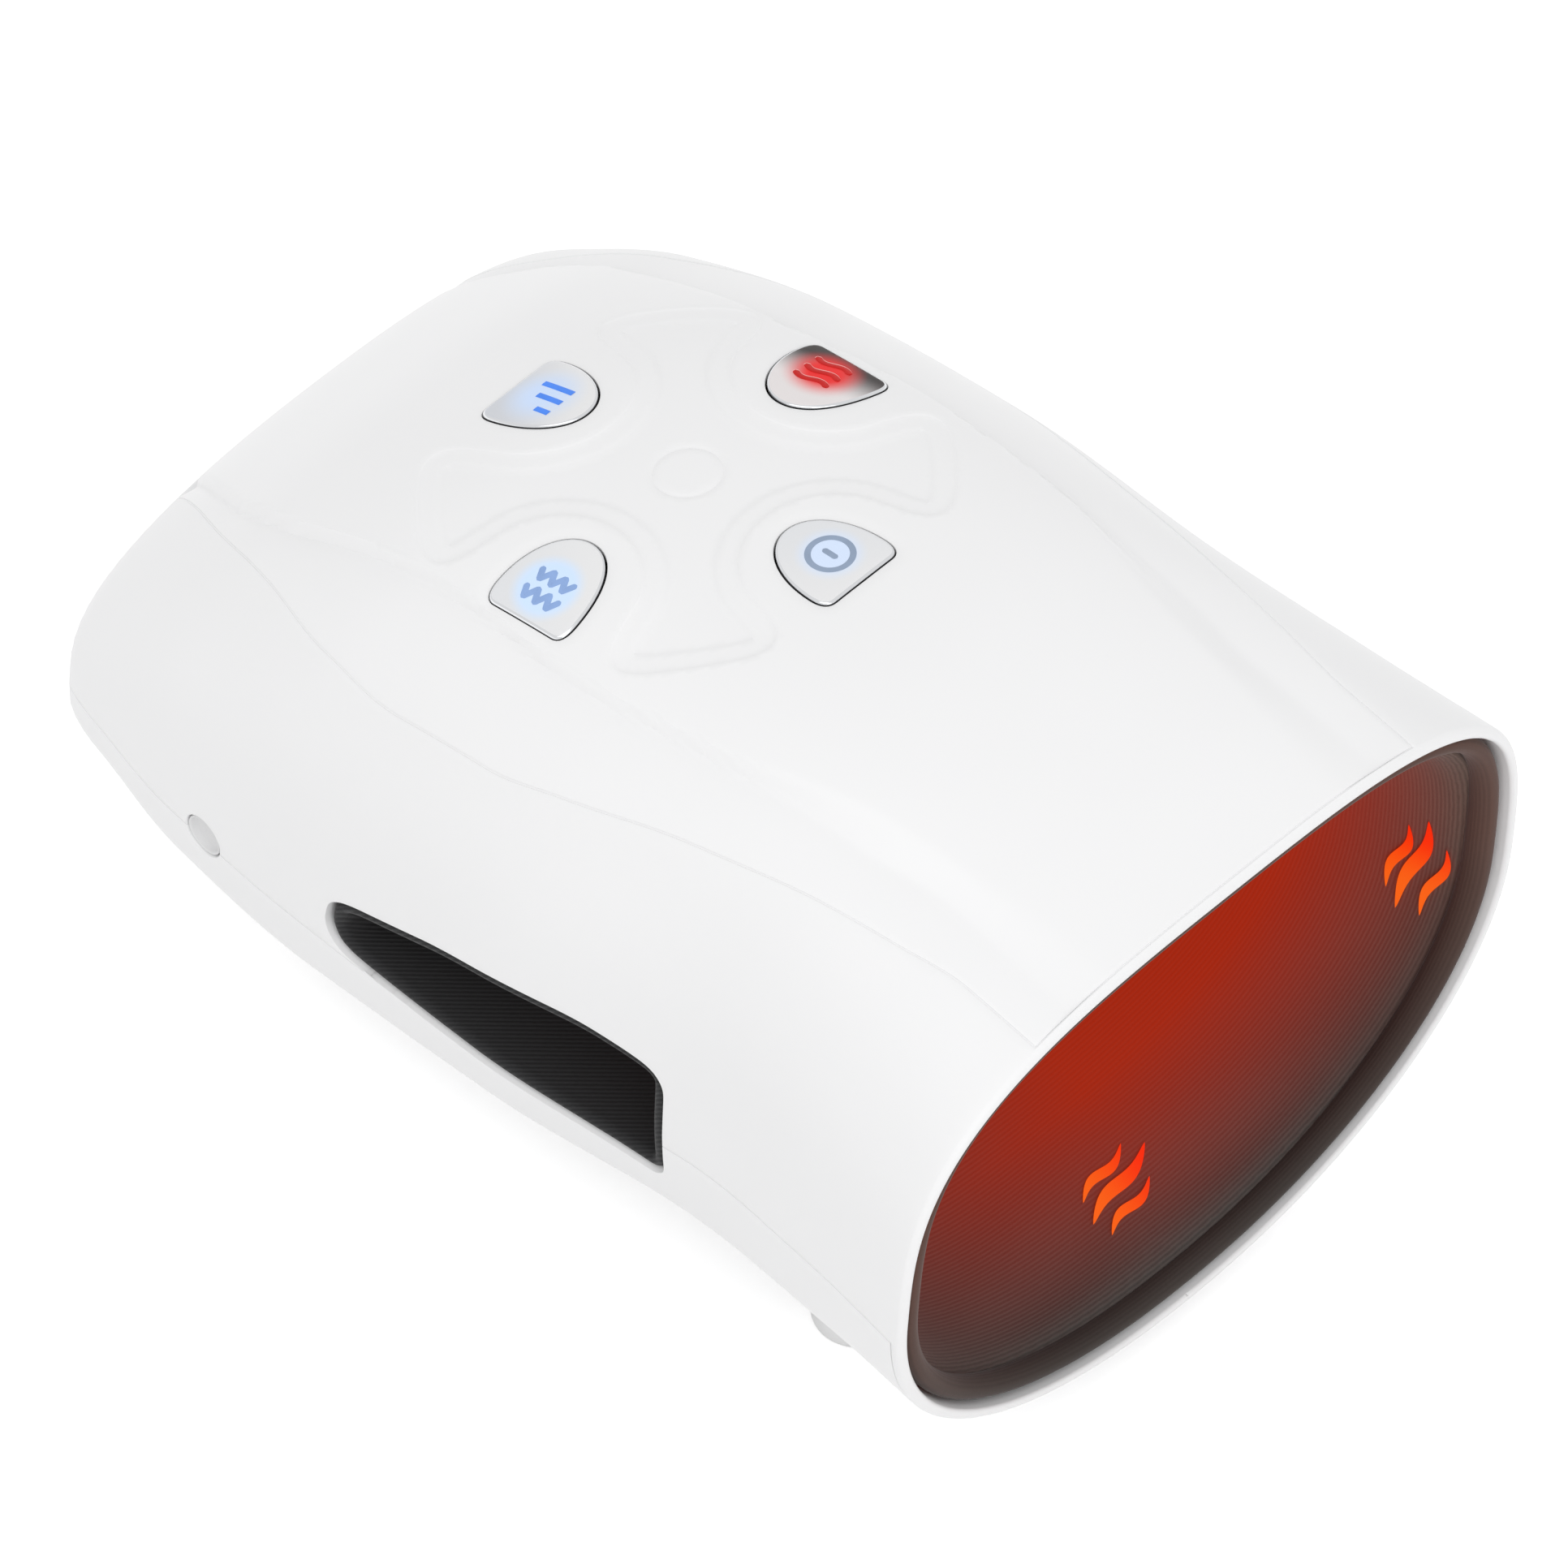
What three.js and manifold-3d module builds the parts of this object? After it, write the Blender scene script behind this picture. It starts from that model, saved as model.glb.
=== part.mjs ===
// Hand massager: a white housing with a wrist mouth at -Y, closed finger end at +Y,
// a thumb opening in each side wall and four buttons on the top cover.
// Millimetres, +Z up, standing on its feet at z = 0, centred on the origin.
// "along" is always the distance from the mouth plane towards the finger end.

import * as THREE from 'three';
import { mergeVertices } from 'three/addons/utils/BufferGeometryUtils.js';
import Module from 'manifold-3d';

const wasm = await Module();
wasm.setup();

// Housing
const bodyLength = 222;
const mouthWidth = 157;
const shellHeight = 127.7;
const footHeight = 3.1;
const shellWall = 2.4;
const lipRadius = 1.7;
const lipDepth = 2.4;
const partingGap = 0.35;
const clearance = 0.3;
const overrun = 6;
const probeStep = 0.2;
const weldLength = 0.01;

// Body stations: share of the length, of the mouth half width, of the height (top and bottom)
const bodyStationShares = [
  [0, 1, 0.9405, 0.022],
  [0.117, 0.941, 0.972, 0.01],
  [0.293, 0.885, 1, 0],
  [0.4865, 0.922, 0.964, 0.002],
  [0.68, 0.918, 0.897, 0.008],
  [0.829, 0.892, 0.7745, 0.0525],
  [0.9145, 0.845, 0.66, 0.1],
  [0.973, 0.801, 0.557, 0.135],
  [0.991, 0.732, 0.495, 0.175],
  [1, 0.624, 0.43, 0.234],
];
const ringShares = [
  0.055, 0.117, 0.2, 0.293, 0.4, 0.5, 0.6, 0.68, 0.76, 0.829, 0.88, 0.9145, 0.95, 0.975, 0.991, 1,
];
const innerRingShares = [0.117, 0.293, 0.42, 0.56, 0.68, 0.78, 0.86, 0.9145, 0.965, 0.991, 1];
const outerPoints = 40;
const innerPoints = 28;
const layerPoints = 20;
const coverRowShares = [
  0, 0.08, 0.17, 0.2315, 0.2928, 0.37, 0.45, 0.53, 0.62, 0.71, 0.79, 0.86, 0.91, 0.95, 0.98, 1,
];
const widestShares = [0.532, 0.441];
const topPowers = [3.12, 2.4];
const bottomPowers = [2.11, 4.08];

// Top cover: edge seam, ridge foot and ridge crest as shares of the length and of the mouth half width
const coverThickness = 2.2;
const plainColumnShares = [-1, -0.84, -0.6, -0.3, 0, 0.3, 0.6, 0.84, 1];
const ledgeThickness = 1.8;
const ledgeReach = 4.5;
const ledgeStart = 11;
const coverFront = 1.5;
const coverEndGap = 3.5;
const coverBack = bodyLength - coverEndGap;
const seamShares = [
  [0, 0.6051], [0.0766, 0.6051], [0.1486, 0.6306], [0.2297, 0.6611], [0.3018, 0.6943],
  [0.3536, 0.7172], [0.4505, 0.7669], [0.527, 0.7911], [0.6216, 0.7911], [0.7162, 0.7541],
  [0.8063, 0.6701], [0.8739, 0.6025], [0.9369, 0.5159], [1, 0.4268],
];
const ridgeFootShares = [
  [0, 0.4968], [0.1441, 0.4968], [0.2072, 0.521], [0.2838, 0.5389], [0.4099, 0.5745], [0.5225, 0.5936],
  [0.5946, 0.5732], [0.6802, 0.558], [0.8243, 0.5503], [0.8874, 0.5223], [0.9279, 0.4777], [1, 0.3758],
];
const ridgeCrestShares = [
  [0, 0.3643], [0.0811, 0.3822], [0.1396, 0.4025], [0.2207, 0.4318], [0.2838, 0.4777], [0.3604, 0.535],
  [0.5225, 0.5682], [0.6802, 0.5325], [0.8243, 0.5248], [0.8874, 0.4968], [0.9279, 0.4522],
  [1, 0.3503],
];
// Depth of the ridge foot as shares of the length and of the deepest place
const ridgeDepth = 2.1;
const ridgeDropShares = [
  [0, 0.2857], [0.0811, 0.5714], [0.2207, 0.9048], [0.3604, 1], [0.8243, 1], [0.9279, 0.7143],
  [1, 0.4286],
];

// Buttons, and round them the four-lobed relief and the centre ring as shares of the button pitch
const panelAlongShare = 0.5847;
const panelAlong = bodyLength * panelAlongShare;
const buttonPitch = 35.1;
const reliefShares = {
  arcRadius: 0.47, border: 0.1282, centreRing: 0.1923,
  lobeReach: 1.339, lobeHalfWidth: 0.3875, lobeCorner: 0.114, tipReach: 0.0342, tipAcross: 0.0513,
};
const lobeInsetShare = 0.35;
const reliefDepth = 0.8;
const reliefArcSweep = 66;
const reliefArcSteps = 5;
const reliefBorder = buttonPitch * reliefShares.border;
const reliefOverlap = 0.6;
const reliefEdgeRise = 0.1;
const centreRingWidth = 0.9;
const centreRingDepth = 0.4;
const buttonHalfWidth = 9.7;
const buttonOuterReach = 6.9;
const buttonInnerReach = 12;
const buttonCurveShares = { straight: 0.72, shoulder: 0.43, flank: 0.46, nose: 0.58 };
const buttonGap = 0.4;
const buttonProud = 0.25;
const buttonTopWall = 1.4;
const buttonSideWall = 1.3;
const buttonSkirt = 4.6;
const buttonFlange = 1.1;
const buttonFlangeHeight = 1;
const buttonTravel = 0.9;
const lightGuideThickness = 1.8;
const stemRadius = 1.8;
const stemRootShare = 0.9;

// Lower seam as shares of the length and of the shell height over the feet
const lowerSeamShares = [
  [0, 0.4691], [0.1126, 0.4424], [0.2117, 0.4166], [0.2883, 0.3853], [0.3829, 0.332], [0.4955, 0.2968],
  [0.6577, 0.289], [1, 0.289],
];

// Thumb opening
const thumbLength = 78.8;
const thumbHeight = 31.3;
const thumbPlaceShares = [0.29279, 0.28896];
const thumbSill = 0.9;
const thumbFront = bodyLength * thumbPlaceShares[0];
const thumbCorner = 5;
const thumbWall = 2.8;
const thumbRimWidth = 3.4;
const thumbRimThickness = 1.3;
// Upper edge as shares of the opening's length and height
const thumbEdgeShares = [[0.12, 1], [0.26, 0.985], [0.46, 0.88], [0.66, 0.755], [0.8, 0.625], [0.94, 0.5]];
const thumbFarCornerShares = [[0.99, 0.4], [1, 0.2], [0.97, 0.06], [0.9, 0]];

// Hand cavity, to the fabric's outer face: shares of the length, of the mouth half width and of the height
const liningThickness = 3;
const heaterThickness = 0.6;
const airbagThickness = 3.8;
const frameThickness = 2.1;
const cavityShares = [
  [0, 0.9771, 0.9256, 0.036], [0.0541, 0.9439, 0.906, 0.0509], [0.1261, 0.8726, 0.8465, 0.0987],
  [0.2072, 0.8064, 0.7721, 0.1535], [0.2928, 0.7631, 0.7134, 0.2013], [0.4144, 0.7427, 0.6758, 0.2341],
  [0.6532, 0.7261, 0.6288, 0.2443], [0.7883, 0.665, 0.5724, 0.2482],
  [0.8468, 0.5822, 0.5215, 0.2639], [0.8694, 0.493, 0.4745, 0.2874],
];
// Powers of the cavity's section above and below, over shares of the length
const cavityPowerShares = [[0, 3.1, 2.1], [0.2928, 2.6, 2.6], [0.8694, 2.6, 2.6]];
const cavitySplitShare = 0.42208;
const frameShares = [0.28829, 0.85135];
const liningStart = 4.2;
const lineStack = shellWall + clearance + liningThickness;
const cavitySplit = footHeight + shellHeight * cavitySplitShare;
const [frameStart, frameEnd] = frameShares.map((share) => bodyLength * share);
const rimRadius = 1.35;
const rimAlong = 2.4;
const rimSides = 6;

// Air bags and heater: start and end as shares of the length, half width as a share of the mouth half width
const handBagShares = [0.32432, 0.54955, 0.4586];
const fingerBagShares = [0.56757, 0.77477, 0.38217];
const heaterShares = [0.30631, 0.79279, 0.49682];
const padCorner = 8;

// Control board under the cover, tact switches and lamps
const boardThickness = 1.6;
const boardDepth = 14.5;
const boardPostRadius = 2.6;
const boardPostShare = 0.7556;
const switchWidth = 6.2;
const switchHeight = 3.4;
const switchPlungerRadius = 1.7;
const switchPlungerHeight = 1.2;
const lampWidth = 2.8;
const lampHeight = 1.1;
const lampOffset = 5.4;

// Air pump
const pumpBoardGap = 6.4;
const motorRadius = 10;
const motorLength = 28;
const motorFace = -8;
const shaftRadius = 1.15;
const eccentricRadius = 6;
const eccentricThickness = 4.4;
const crankPinRadius = 1.5;
const crankPinOffset = 3.2;
const crankPinLength = 1.6;
const pumpHeadStart = 0;
const pumpHeadLength = 23;
const pumpHeadWidth = 21;
const pumpArmWidth = 3;
const nozzleRadius = 1.6;
const nozzleLength = 4;
const saddleWidth = 14;
const saddleLength = 7;
const saddleSetbackShare = 1.5;

// Air valves
const valveAcrossShare = 0.30573;
const valveAcross = mouthWidth * valveAcrossShare;
const valvePumpGap = 1;
const valveWidth = 14;
const valveDepth = 12;
const valveHeight = 11;
const plungerRadius = 2.4;
const plungerLength = 8;
const plungerCapRadius = 3.5;
const plungerCapHeight = 1.2;
const plungerTravel = 1.5;

// Hoses
const hoseRadius = 2.4;
const barbSize = 7;
const barbShares = [0.2293, 0.66667];
const barbAcross = mouthWidth * barbShares[0];
const barbAlong = bodyLength * barbShares[1];

// Battery
const cellRadius = 9.2;
const cellLength = 65;
const cellGap = 0.8;
const cellPitch = 2 * cellRadius + cellGap;
const packAlongShare = 0.58559;
const packFrontShare = 0.4;
const packAlong = bodyLength * packAlongShare;
const holderWall = 2;
const holderDrop = 3.8;

// Charging socket
const portShares = [0.78694, 0.29679];
const portAlong = bodyLength * portShares[0];
const portHeight = footHeight + shellHeight * portShares[1];
const portRadius = 4.15;
const portRimWidth = 1;
const portRecess = 4.5;
const pinRadius = 1;
const chargeBoardWidth = 14;
const chargeBoardHeight = 16;
const chargeBoardThickness = 1.4;
const chargeBoardShares = [0.75, 0.25];

// Feet, tray posts and screws
const footRadius = 8;
const footFoldRadius = 7.2;
const footAcrossShare = 0.25478;
const footAlongShares = [0.18919, 0.77477];
const footAcross = mouthWidth * footAcrossShare;
const footAlongs = footAlongShares.map((share) => bodyLength * share);
const footTop = 24;
const postAcrossShare = 0.24204;
const postAlongShares = [0.43243, 0.74775];
const postAcross = mouthWidth * postAcrossShare;
const postAlongs = postAlongShares.map((share) => bodyLength * share);
const postRadius = 4.2;
const screwHeadRadius = 2.9;
const screwHeadHeight = 2;
const screwShankRadius = 1.3;
const screwSeatHeight = 15;
const screwLength = 12;

const fullTurn = 2 * Math.PI;
const mouthY = -bodyLength / 2;

function paint(color, roughness, metalness = 0) {
  return new THREE.MeshStandardMaterial({ color, roughness, metalness });
}

// Smooth curve through the rows of a table, without overshoot
function smoothCurve(rows, column = 1) {
  const places = rows.map((row) => row[0]);
  const values = rows.map((row) => row[column]);
  const steps = places.slice(1).map((place, i) => place - places[i]);
  const rises = steps.map((step, i) => (values[i + 1] - values[i]) / step);
  const slopes = values.map((_, i) => {
    if (i === 0) return rises[0];
    if (i === values.length - 1) return rises[i - 1];
    if (rises[i - 1] * rises[i] <= 0) return 0;
    return 2 / (1 / rises[i - 1] + 1 / rises[i]);
  });
  return (place) => {
    const last = steps.length - 1;
    let i = 0;
    while (i < last && place > places[i + 1]) i += 1;
    const t = THREE.MathUtils.clamp((place - places[i]) / steps[i], 0, 1);
    const rest = 1 - t;
    return values[i] * (1 + 2 * t) * rest * rest + slopes[i] * steps[i] * t * rest * rest
      + values[i + 1] * t * t * (3 - 2 * t) - slopes[i + 1] * steps[i] * t * t * rest;
  };
}

const widthShareAt = smoothCurve(bodyStationShares, 1);
const topShareAt = smoothCurve(bodyStationShares, 2);
const bottomShareAt = smoothCurve(bodyStationShares, 3);
const seamHalfWidth = smoothCurve(scaledRows(seamShares, bodyLength, mouthWidth / 2));
const footHalfWidth = smoothCurve(scaledRows(ridgeFootShares, bodyLength, mouthWidth / 2));
const crestHalfWidth = smoothCurve(scaledRows(ridgeCrestShares, bodyLength, mouthWidth / 2));
const ridgeDrop = smoothCurve(scaledRows(ridgeDropShares, bodyLength, ridgeDepth));
const lowerSeam = smoothCurve(scaledRows(lowerSeamShares, bodyLength, shellHeight));

function scaledRows(rows, ...scales) {
  return rows.map((row) => row.map((value, i) => value * scales[i]));
}

// The cells rest over the base wall, and the hand cavity stays above them
const cellHeight = floorHeight(cellLength / 2, packAlong) + shellWall + 2 * clearance + holderWall / 2 + cellRadius;
const cavityFloor = cellHeight + cellRadius + clearance + frameOutset(1);
const thumbBottom = Math.max(footHeight + shellHeight * thumbPlaceShares[1], cavityFloor + thumbSill);
const cavityStations = cavityShares.map(([along, half, top, bottom], i) => {
  const shareBottom = footHeight + shellHeight * bottom + lineStack;
  return [
    i === 0 ? liningStart : bodyLength * along,
    (mouthWidth / 2) * half - lineStack,
    footHeight + shellHeight * top - lineStack,
    along > packFrontShare ? Math.max(shareBottom, cavityFloor) : shareBottom,
  ];
});
const cavityHalfWidth = smoothCurve(cavityStations, 1);
const cavityTop = smoothCurve(cavityStations, 2);
const cavityBottom = smoothCurve(cavityStations, 3);
const cavityPowerRows = scaledRows(cavityPowerShares, bodyLength, 1, 1);
const cavityTopPower = smoothCurve(cavityPowerRows, 1);
const cavityBottomPower = smoothCurve(cavityPowerRows, 2);

// The board fits under the raised middle of the cover
const boardRadius = crestHalfWidth(panelAlong) + clearance;

// The pump lies in front of the board, midway between the hand cavity and the cover
const pumpAlong = panelAlong - boardRadius - pumpHeadWidth / 2 - pumpBoardGap;
const pumpFront = pumpAlong - pumpHeadWidth / 2;
const pumpRoomTop = Math.min(
  skinHeight(pumpHeadLength, pumpAlong + pumpHeadWidth / 2),
  skinHeight(motorLength - motorFace, pumpAlong) - ridgeDepth,
) - coverThickness;
const pumpRoomBottom = Math.max(
  cavitySurface(0, Math.max(frameStart, pumpFront)),
  cavityTop(pumpFront) + liningThickness,
);
const pumpHeight = (pumpRoomTop + pumpRoomBottom) / 2;
// The valves stand on the arch behind the pump
const valveAlong = pumpAlong + motorRadius + valvePumpGap + valveDepth / 2;
const valveBottom = 2 * clearance + cavitySurface(valveAcross - valveWidth / 2, valveAlong - valveDepth / 2);
const portInner = cavityHalfWidth(portAlong) + frameOutset(1) + chargeBoardThickness + 3 * clearance;

// Geometry to solid and back
function toSolid(geometry) {
  const plain = geometry.clone();
  plain.deleteAttribute('normal');
  plain.deleteAttribute('uv');
  const merged = mergeVertices(plain);
  return new wasm.Manifold(new wasm.Mesh({
    numProp: 3,
    vertProperties: new Float32Array(merged.attributes.position.array),
    triVerts: new Uint32Array(merged.index.array),
  }));
}

function toMesh(name, solid, material) {
  const data = mainBody(solid.simplify(weldLength)).getMesh();
  const geometry = new THREE.BufferGeometry();
  geometry.setAttribute('position', new THREE.BufferAttribute(new Float32Array(data.vertProperties), 3));
  geometry.setIndex(new THREE.BufferAttribute(new Uint32Array(data.triVerts), 1));
  geometry.computeVertexNormals();
  const mesh = new THREE.Mesh(geometry, material);
  mesh.name = name;
  return mesh;
}

function joined(solids) {
  return solids.reduce((sum, solid) => sum.add(solid));
}

// The main body of a cut piece, without slivers that a cut leaves beside it
function mainBody(solid) {
  return solid.decompose().reduce((best, body) => (body.volume() > best.volume() ? body : best));
}

// Closed skin over rings of equal point count, capped at both ends or closed on itself
function ringSolid(rings, closed = false) {
  const count = rings[0].length;
  const positions = rings.flat().flatMap((point) => [point.x, point.y, point.z]);
  const indices = [];
  const bands = closed ? rings.length : rings.length - 1;
  for (let i = 0; i < bands; i += 1) {
    const here = i * count;
    const next = ((i + 1) % rings.length) * count;
    for (let j = 0; j < count; j += 1) {
      const k = (j + 1) % count;
      indices.push(here + j, here + k, next + k, here + j, next + k, next + j);
    }
  }
  if (!closed) {
    for (const [ring, flipped] of [[0, true], [rings.length - 1, false]]) {
      const centre = rings[ring].reduce((sum, point) => sum.add(point), new THREE.Vector3());
      centre.divideScalar(count);
      const hub = positions.length / 3;
      positions.push(centre.x, centre.y, centre.z);
      for (let j = 0; j < count; j += 1) {
        const a = ring * count + j;
        const b = ring * count + ((j + 1) % count);
        indices.push(...(flipped ? [hub, b, a] : [hub, a, b]));
      }
    }
  }
  return outwardSolid(positions, indices);
}

// Closed slab between two grids of equal size
function slabSolid(top, bottom) {
  const rows = top.length;
  const columns = top[0].length;
  const positions = [...top, ...bottom].flat().flatMap((point) => [point.x, point.y, point.z]);
  const indices = [];
  const at = (side, row, column) => side * rows * columns + row * columns + column;
  const quad = (a, b, c, d) => indices.push(a, b, c, a, c, d);
  for (let row = 0; row < rows; row += 1) {
    for (let column = 0; column < columns; column += 1) {
      if (row < rows - 1 && column < columns - 1) {
        quad(at(0, row, column), at(0, row, column + 1), at(0, row + 1, column + 1), at(0, row + 1, column));
        quad(at(1, row, column), at(1, row + 1, column), at(1, row + 1, column + 1), at(1, row, column + 1));
      }
    }
  }
  for (let column = 0; column < columns - 1; column += 1) {
    quad(at(1, 0, column), at(1, 0, column + 1), at(0, 0, column + 1), at(0, 0, column));
    quad(at(0, rows - 1, column), at(0, rows - 1, column + 1), at(1, rows - 1, column + 1), at(1, rows - 1, column));
  }
  for (let row = 0; row < rows - 1; row += 1) {
    quad(at(0, row, 0), at(0, row + 1, 0), at(1, row + 1, 0), at(1, row, 0));
    const last = columns - 1;
    quad(at(1, row, last), at(1, row + 1, last), at(0, row + 1, last), at(0, row, last));
  }
  return outwardSolid(positions, indices);
}

// Turns the faces outwards before the solid is made
function outwardSolid(positions, indices) {
  let volume = 0;
  const corner = (i) => new THREE.Vector3().fromArray(positions, 3 * indices[i]);
  for (let i = 0; i < indices.length; i += 3) {
    volume += corner(i).dot(corner(i + 1).cross(corner(i + 2)));
  }
  if (volume < 0) indices.reverse();
  const geometry = new THREE.BufferGeometry();
  geometry.setAttribute('position', new THREE.Float32BufferAttribute(positions, 3));
  geometry.setIndex(indices);
  return toSolid(geometry);
}

// Super-ellipse section with its own power above and below the widest line
function sectionRing(section, y, points) {
  return Array.from({ length: points }, (_, i) => {
    const angle = (fullTurn * i) / points;
    const across = Math.cos(angle);
    const up = Math.sin(angle);
    const power = up >= 0 ? section.topPower : section.bottomPower;
    const reach = up >= 0 ? section.top - section.middle : section.middle - section.bottom;
    const x = section.halfWidth * Math.sign(across) * Math.abs(across) ** (2 / power);
    const z = section.middle + reach * Math.sign(up) * Math.abs(up) ** (2 / power);
    return new THREE.Vector3(x, y, z);
  });
}

function bodySection(along, outset = 0) {
  const share = THREE.MathUtils.clamp(along / (bodyLength + outset), 0, 1);
  const top = footHeight + shellHeight * topShareAt(share) + outset;
  const bottom = footHeight + shellHeight * bottomShareAt(share) - outset;
  return {
    halfWidth: (mouthWidth / 2) * widthShareAt(share) + outset,
    top,
    bottom,
    middle: bottom + (top - bottom) * THREE.MathUtils.lerp(...widestShares, share),
    topPower: THREE.MathUtils.lerp(...topPowers, share),
    bottomPower: THREE.MathUtils.lerp(...bottomPowers, share),
  };
}

// Outer body grown by outset; a negative outset gives the inner face of a wall
function bodySolid(outset, points) {
  const shares = points === outerPoints ? ringShares : innerRingShares;
  const rings = shares.map((share) => {
    const along = share * (bodyLength + outset);
    return sectionRing(bodySection(along, outset), mouthY + along, points);
  });
  const lip = outset === 0 ? lipRings(points) : [
    sectionRing(bodySection(0, outset), mouthY - overrun, points),
    sectionRing(bodySection(0, outset), mouthY, points),
  ];
  return ringSolid([...lip, ...rings]);
}

function lipRings(points) {
  return [0, 1, 2].map((step) => {
    const angle = (Math.PI / 4) * step;
    const along = lipRadius * (1 - Math.sin(angle));
    return sectionRing(bodySection(along, -lipRadius * (1 - Math.cos(Math.PI / 2 - angle))), mouthY + along, points);
  });
}

function cavitySection(along, outset) {
  const top = cavityTop(along) + outset;
  const bottom = cavityBottom(along) - outset;
  return {
    halfWidth: cavityHalfWidth(along) + outset,
    top,
    bottom,
    middle: (top + bottom) / 2,
    topPower: cavityTopPower(along),
    bottomPower: cavityBottomPower(along),
  };
}

// Layer of the hand cavity between two outsets, from the start to the closed finger end
function cavitySolid(outset, start, end, points, stretch = 0) {
  const inside = cavityStations.map((row) => row[0]).filter((along) => along > start && along < end);
  const rings = [start, ...inside, end].map((along, i, all) => {
    const place = i === all.length - 1 ? along + stretch : along;
    return sectionRing(cavitySection(along, outset), mouthY + place, points);
  });
  return ringSolid(rings);
}

// Upper skin of the body as height and as a point at a depth below it
function skinHeight(x, along) {
  const section = bodySection(along);
  const reach = Math.min(1, Math.abs(x) / section.halfWidth);
  const rise = (1 - reach ** section.topPower) ** (1 / section.topPower);
  return section.middle + (section.top - section.middle) * rise;
}

// Lower skin of the body as height
function floorHeight(x, along) {
  const section = bodySection(along);
  const fall = (1 - (Math.abs(x) / section.halfWidth) ** section.bottomPower) ** (1 / section.bottomPower);
  return section.middle - (section.middle - section.bottom) * fall;
}

function skinPoint(x, along, depth) {
  const slopeX = (skinHeight(x + probeStep, along) - skinHeight(x - probeStep, along)) / (2 * probeStep);
  const slopeY = (skinHeight(x, along + probeStep) - skinHeight(x, along - probeStep)) / (2 * probeStep);
  const inward = new THREE.Vector3(slopeX, slopeY, -1).normalize();
  return new THREE.Vector3(x, mouthY + along, skinHeight(x, along)).addScaledVector(inward, depth);
}

// Columns of the cover as half width and share of the ridge drop
function coverColumns(along, grow) {
  const crest = crestHalfWidth(along);
  const foot = footHalfWidth(along);
  const seam = seamHalfWidth(along) + grow;
  const half = [
    [crest / 3, 0], [(2 * crest) / 3, 0], [crest, 0], [foot, 1], [(foot + seam) / 2, 0.5], [seam, 0],
  ];
  const mirrored = half.map(([x, share]) => [-x, share]).reverse();
  return [...mirrored, [0, 0], ...half];
}

// Columns of a plain slab, as shares of its half width
function plainColumns(along, grow) {
  const seam = seamHalfWidth(along) + grow;
  return plainColumnShares.map((share) => [share * seam, 0]);
}

// Curved slab that follows the cover's skin between two depths
function skinSlab({ outer, inner, grow = 0, front = coverFront, back = coverBack, columns = plainColumns }) {
  const grid = (depth) => coverRowShares.map((share) => {
    const along = THREE.MathUtils.lerp(front, back, share);
    return columns(along, grow).map(([x, drop]) => skinPoint(x, along, depth + drop * ridgeDrop(along)));
  });
  return slabSolid(grid(outer), grid(inner));
}

function outlineShape(points) {
  return new THREE.Shape(points.map(([x, y]) => new THREE.Vector2(x, y)));
}

// Moves each point of a closed outline outwards along its own normal
function grownOutline(points, distance) {
  const area = points.reduce((sum, [x, y], i) => {
    const [nextX, nextY] = points[(i + 1) % points.length];
    return sum + x * nextY - nextX * y;
  }, 0);
  return points.map(([x, y], i) => {
    const [beforeX, beforeY] = points[(i + points.length - 1) % points.length];
    const [afterX, afterY] = points[(i + 1) % points.length];
    const normal = new THREE.Vector2(afterY - beforeY, beforeX - afterX).normalize();
    normal.multiplyScalar(distance * Math.sign(area));
    return [x + normal.x, y + normal.y];
  });
}

function slabOf(shape, height) {
  return new THREE.ExtrudeGeometry(shape, { depth: height, bevelEnabled: false });
}

// Straight prism over a plan outline, between two heights
function planPrism(points, bottom, top) {
  return toSolid(slabOf(outlineShape(points), top - bottom).translate(0, 0, bottom));
}

// Straight prism across the body over an outline of [along, height] points
function sidePrism(points, left, right) {
  const geometry = slabOf(outlineShape(points.map(([along, z]) => [mouthY + along, z])), right - left);
  geometry.applyMatrix4(new THREE.Matrix4().set(0, 0, 1, left, 1, 0, 0, 0, 0, 1, 0, 0, 0, 0, 0, 1));
  return toSolid(geometry);
}

function boxBetween(low, high) {
  const size = high.map((value, i) => value - low[i]);
  const geometry = new THREE.BoxGeometry(...size);
  geometry.translate(...low.map((value, i) => value + size[i] / 2));
  return toSolid(geometry);
}

// Cylinder along X, Y or Z that starts at a point
function rod(axis, start, radius, length, endRadius = radius, sides = 24) {
  const geometry = new THREE.CylinderGeometry(endRadius, radius, length, sides);
  geometry.translate(0, length / 2, 0);
  if (axis === 'x') geometry.rotateZ(-Math.PI / 2);
  if (axis === 'z') geometry.rotateX(Math.PI / 2);
  geometry.translate(...start);
  return toSolid(geometry);
}

function mirroredX(solid) {
  return solid.mirror([1, 0, 0]);
}

// Panel frame: its plane runs through the skin at the near and far buttons
const nearButtonZ = skinHeight(0, panelAlong - buttonPitch);
const farButtonZ = skinHeight(0, panelAlong + buttonPitch);
const panelTilt = Math.atan2(nearButtonZ - farButtonZ, 2 * buttonPitch);
const panelOrigin = new THREE.Vector3(0, mouthY + panelAlong, (nearButtonZ + farButtonZ) / 2);
const panelMatrix = new THREE.Matrix4().makeRotationX(-panelTilt).setPosition(panelOrigin);

function onPanel(geometry) {
  return toSolid(geometry.clone().applyMatrix4(panelMatrix));
}

function panelPrism(points, bottom, top) {
  return onPanel(slabOf(outlineShape(points), top - bottom).translate(0, 0, bottom));
}

function panelRod(x, y, bottom, top, radius, sides = 16) {
  const geometry = new THREE.CylinderGeometry(radius, radius, top - bottom, sides);
  geometry.rotateX(Math.PI / 2).translate(x, y, (top + bottom) / 2);
  return onPanel(geometry);
}

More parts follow.
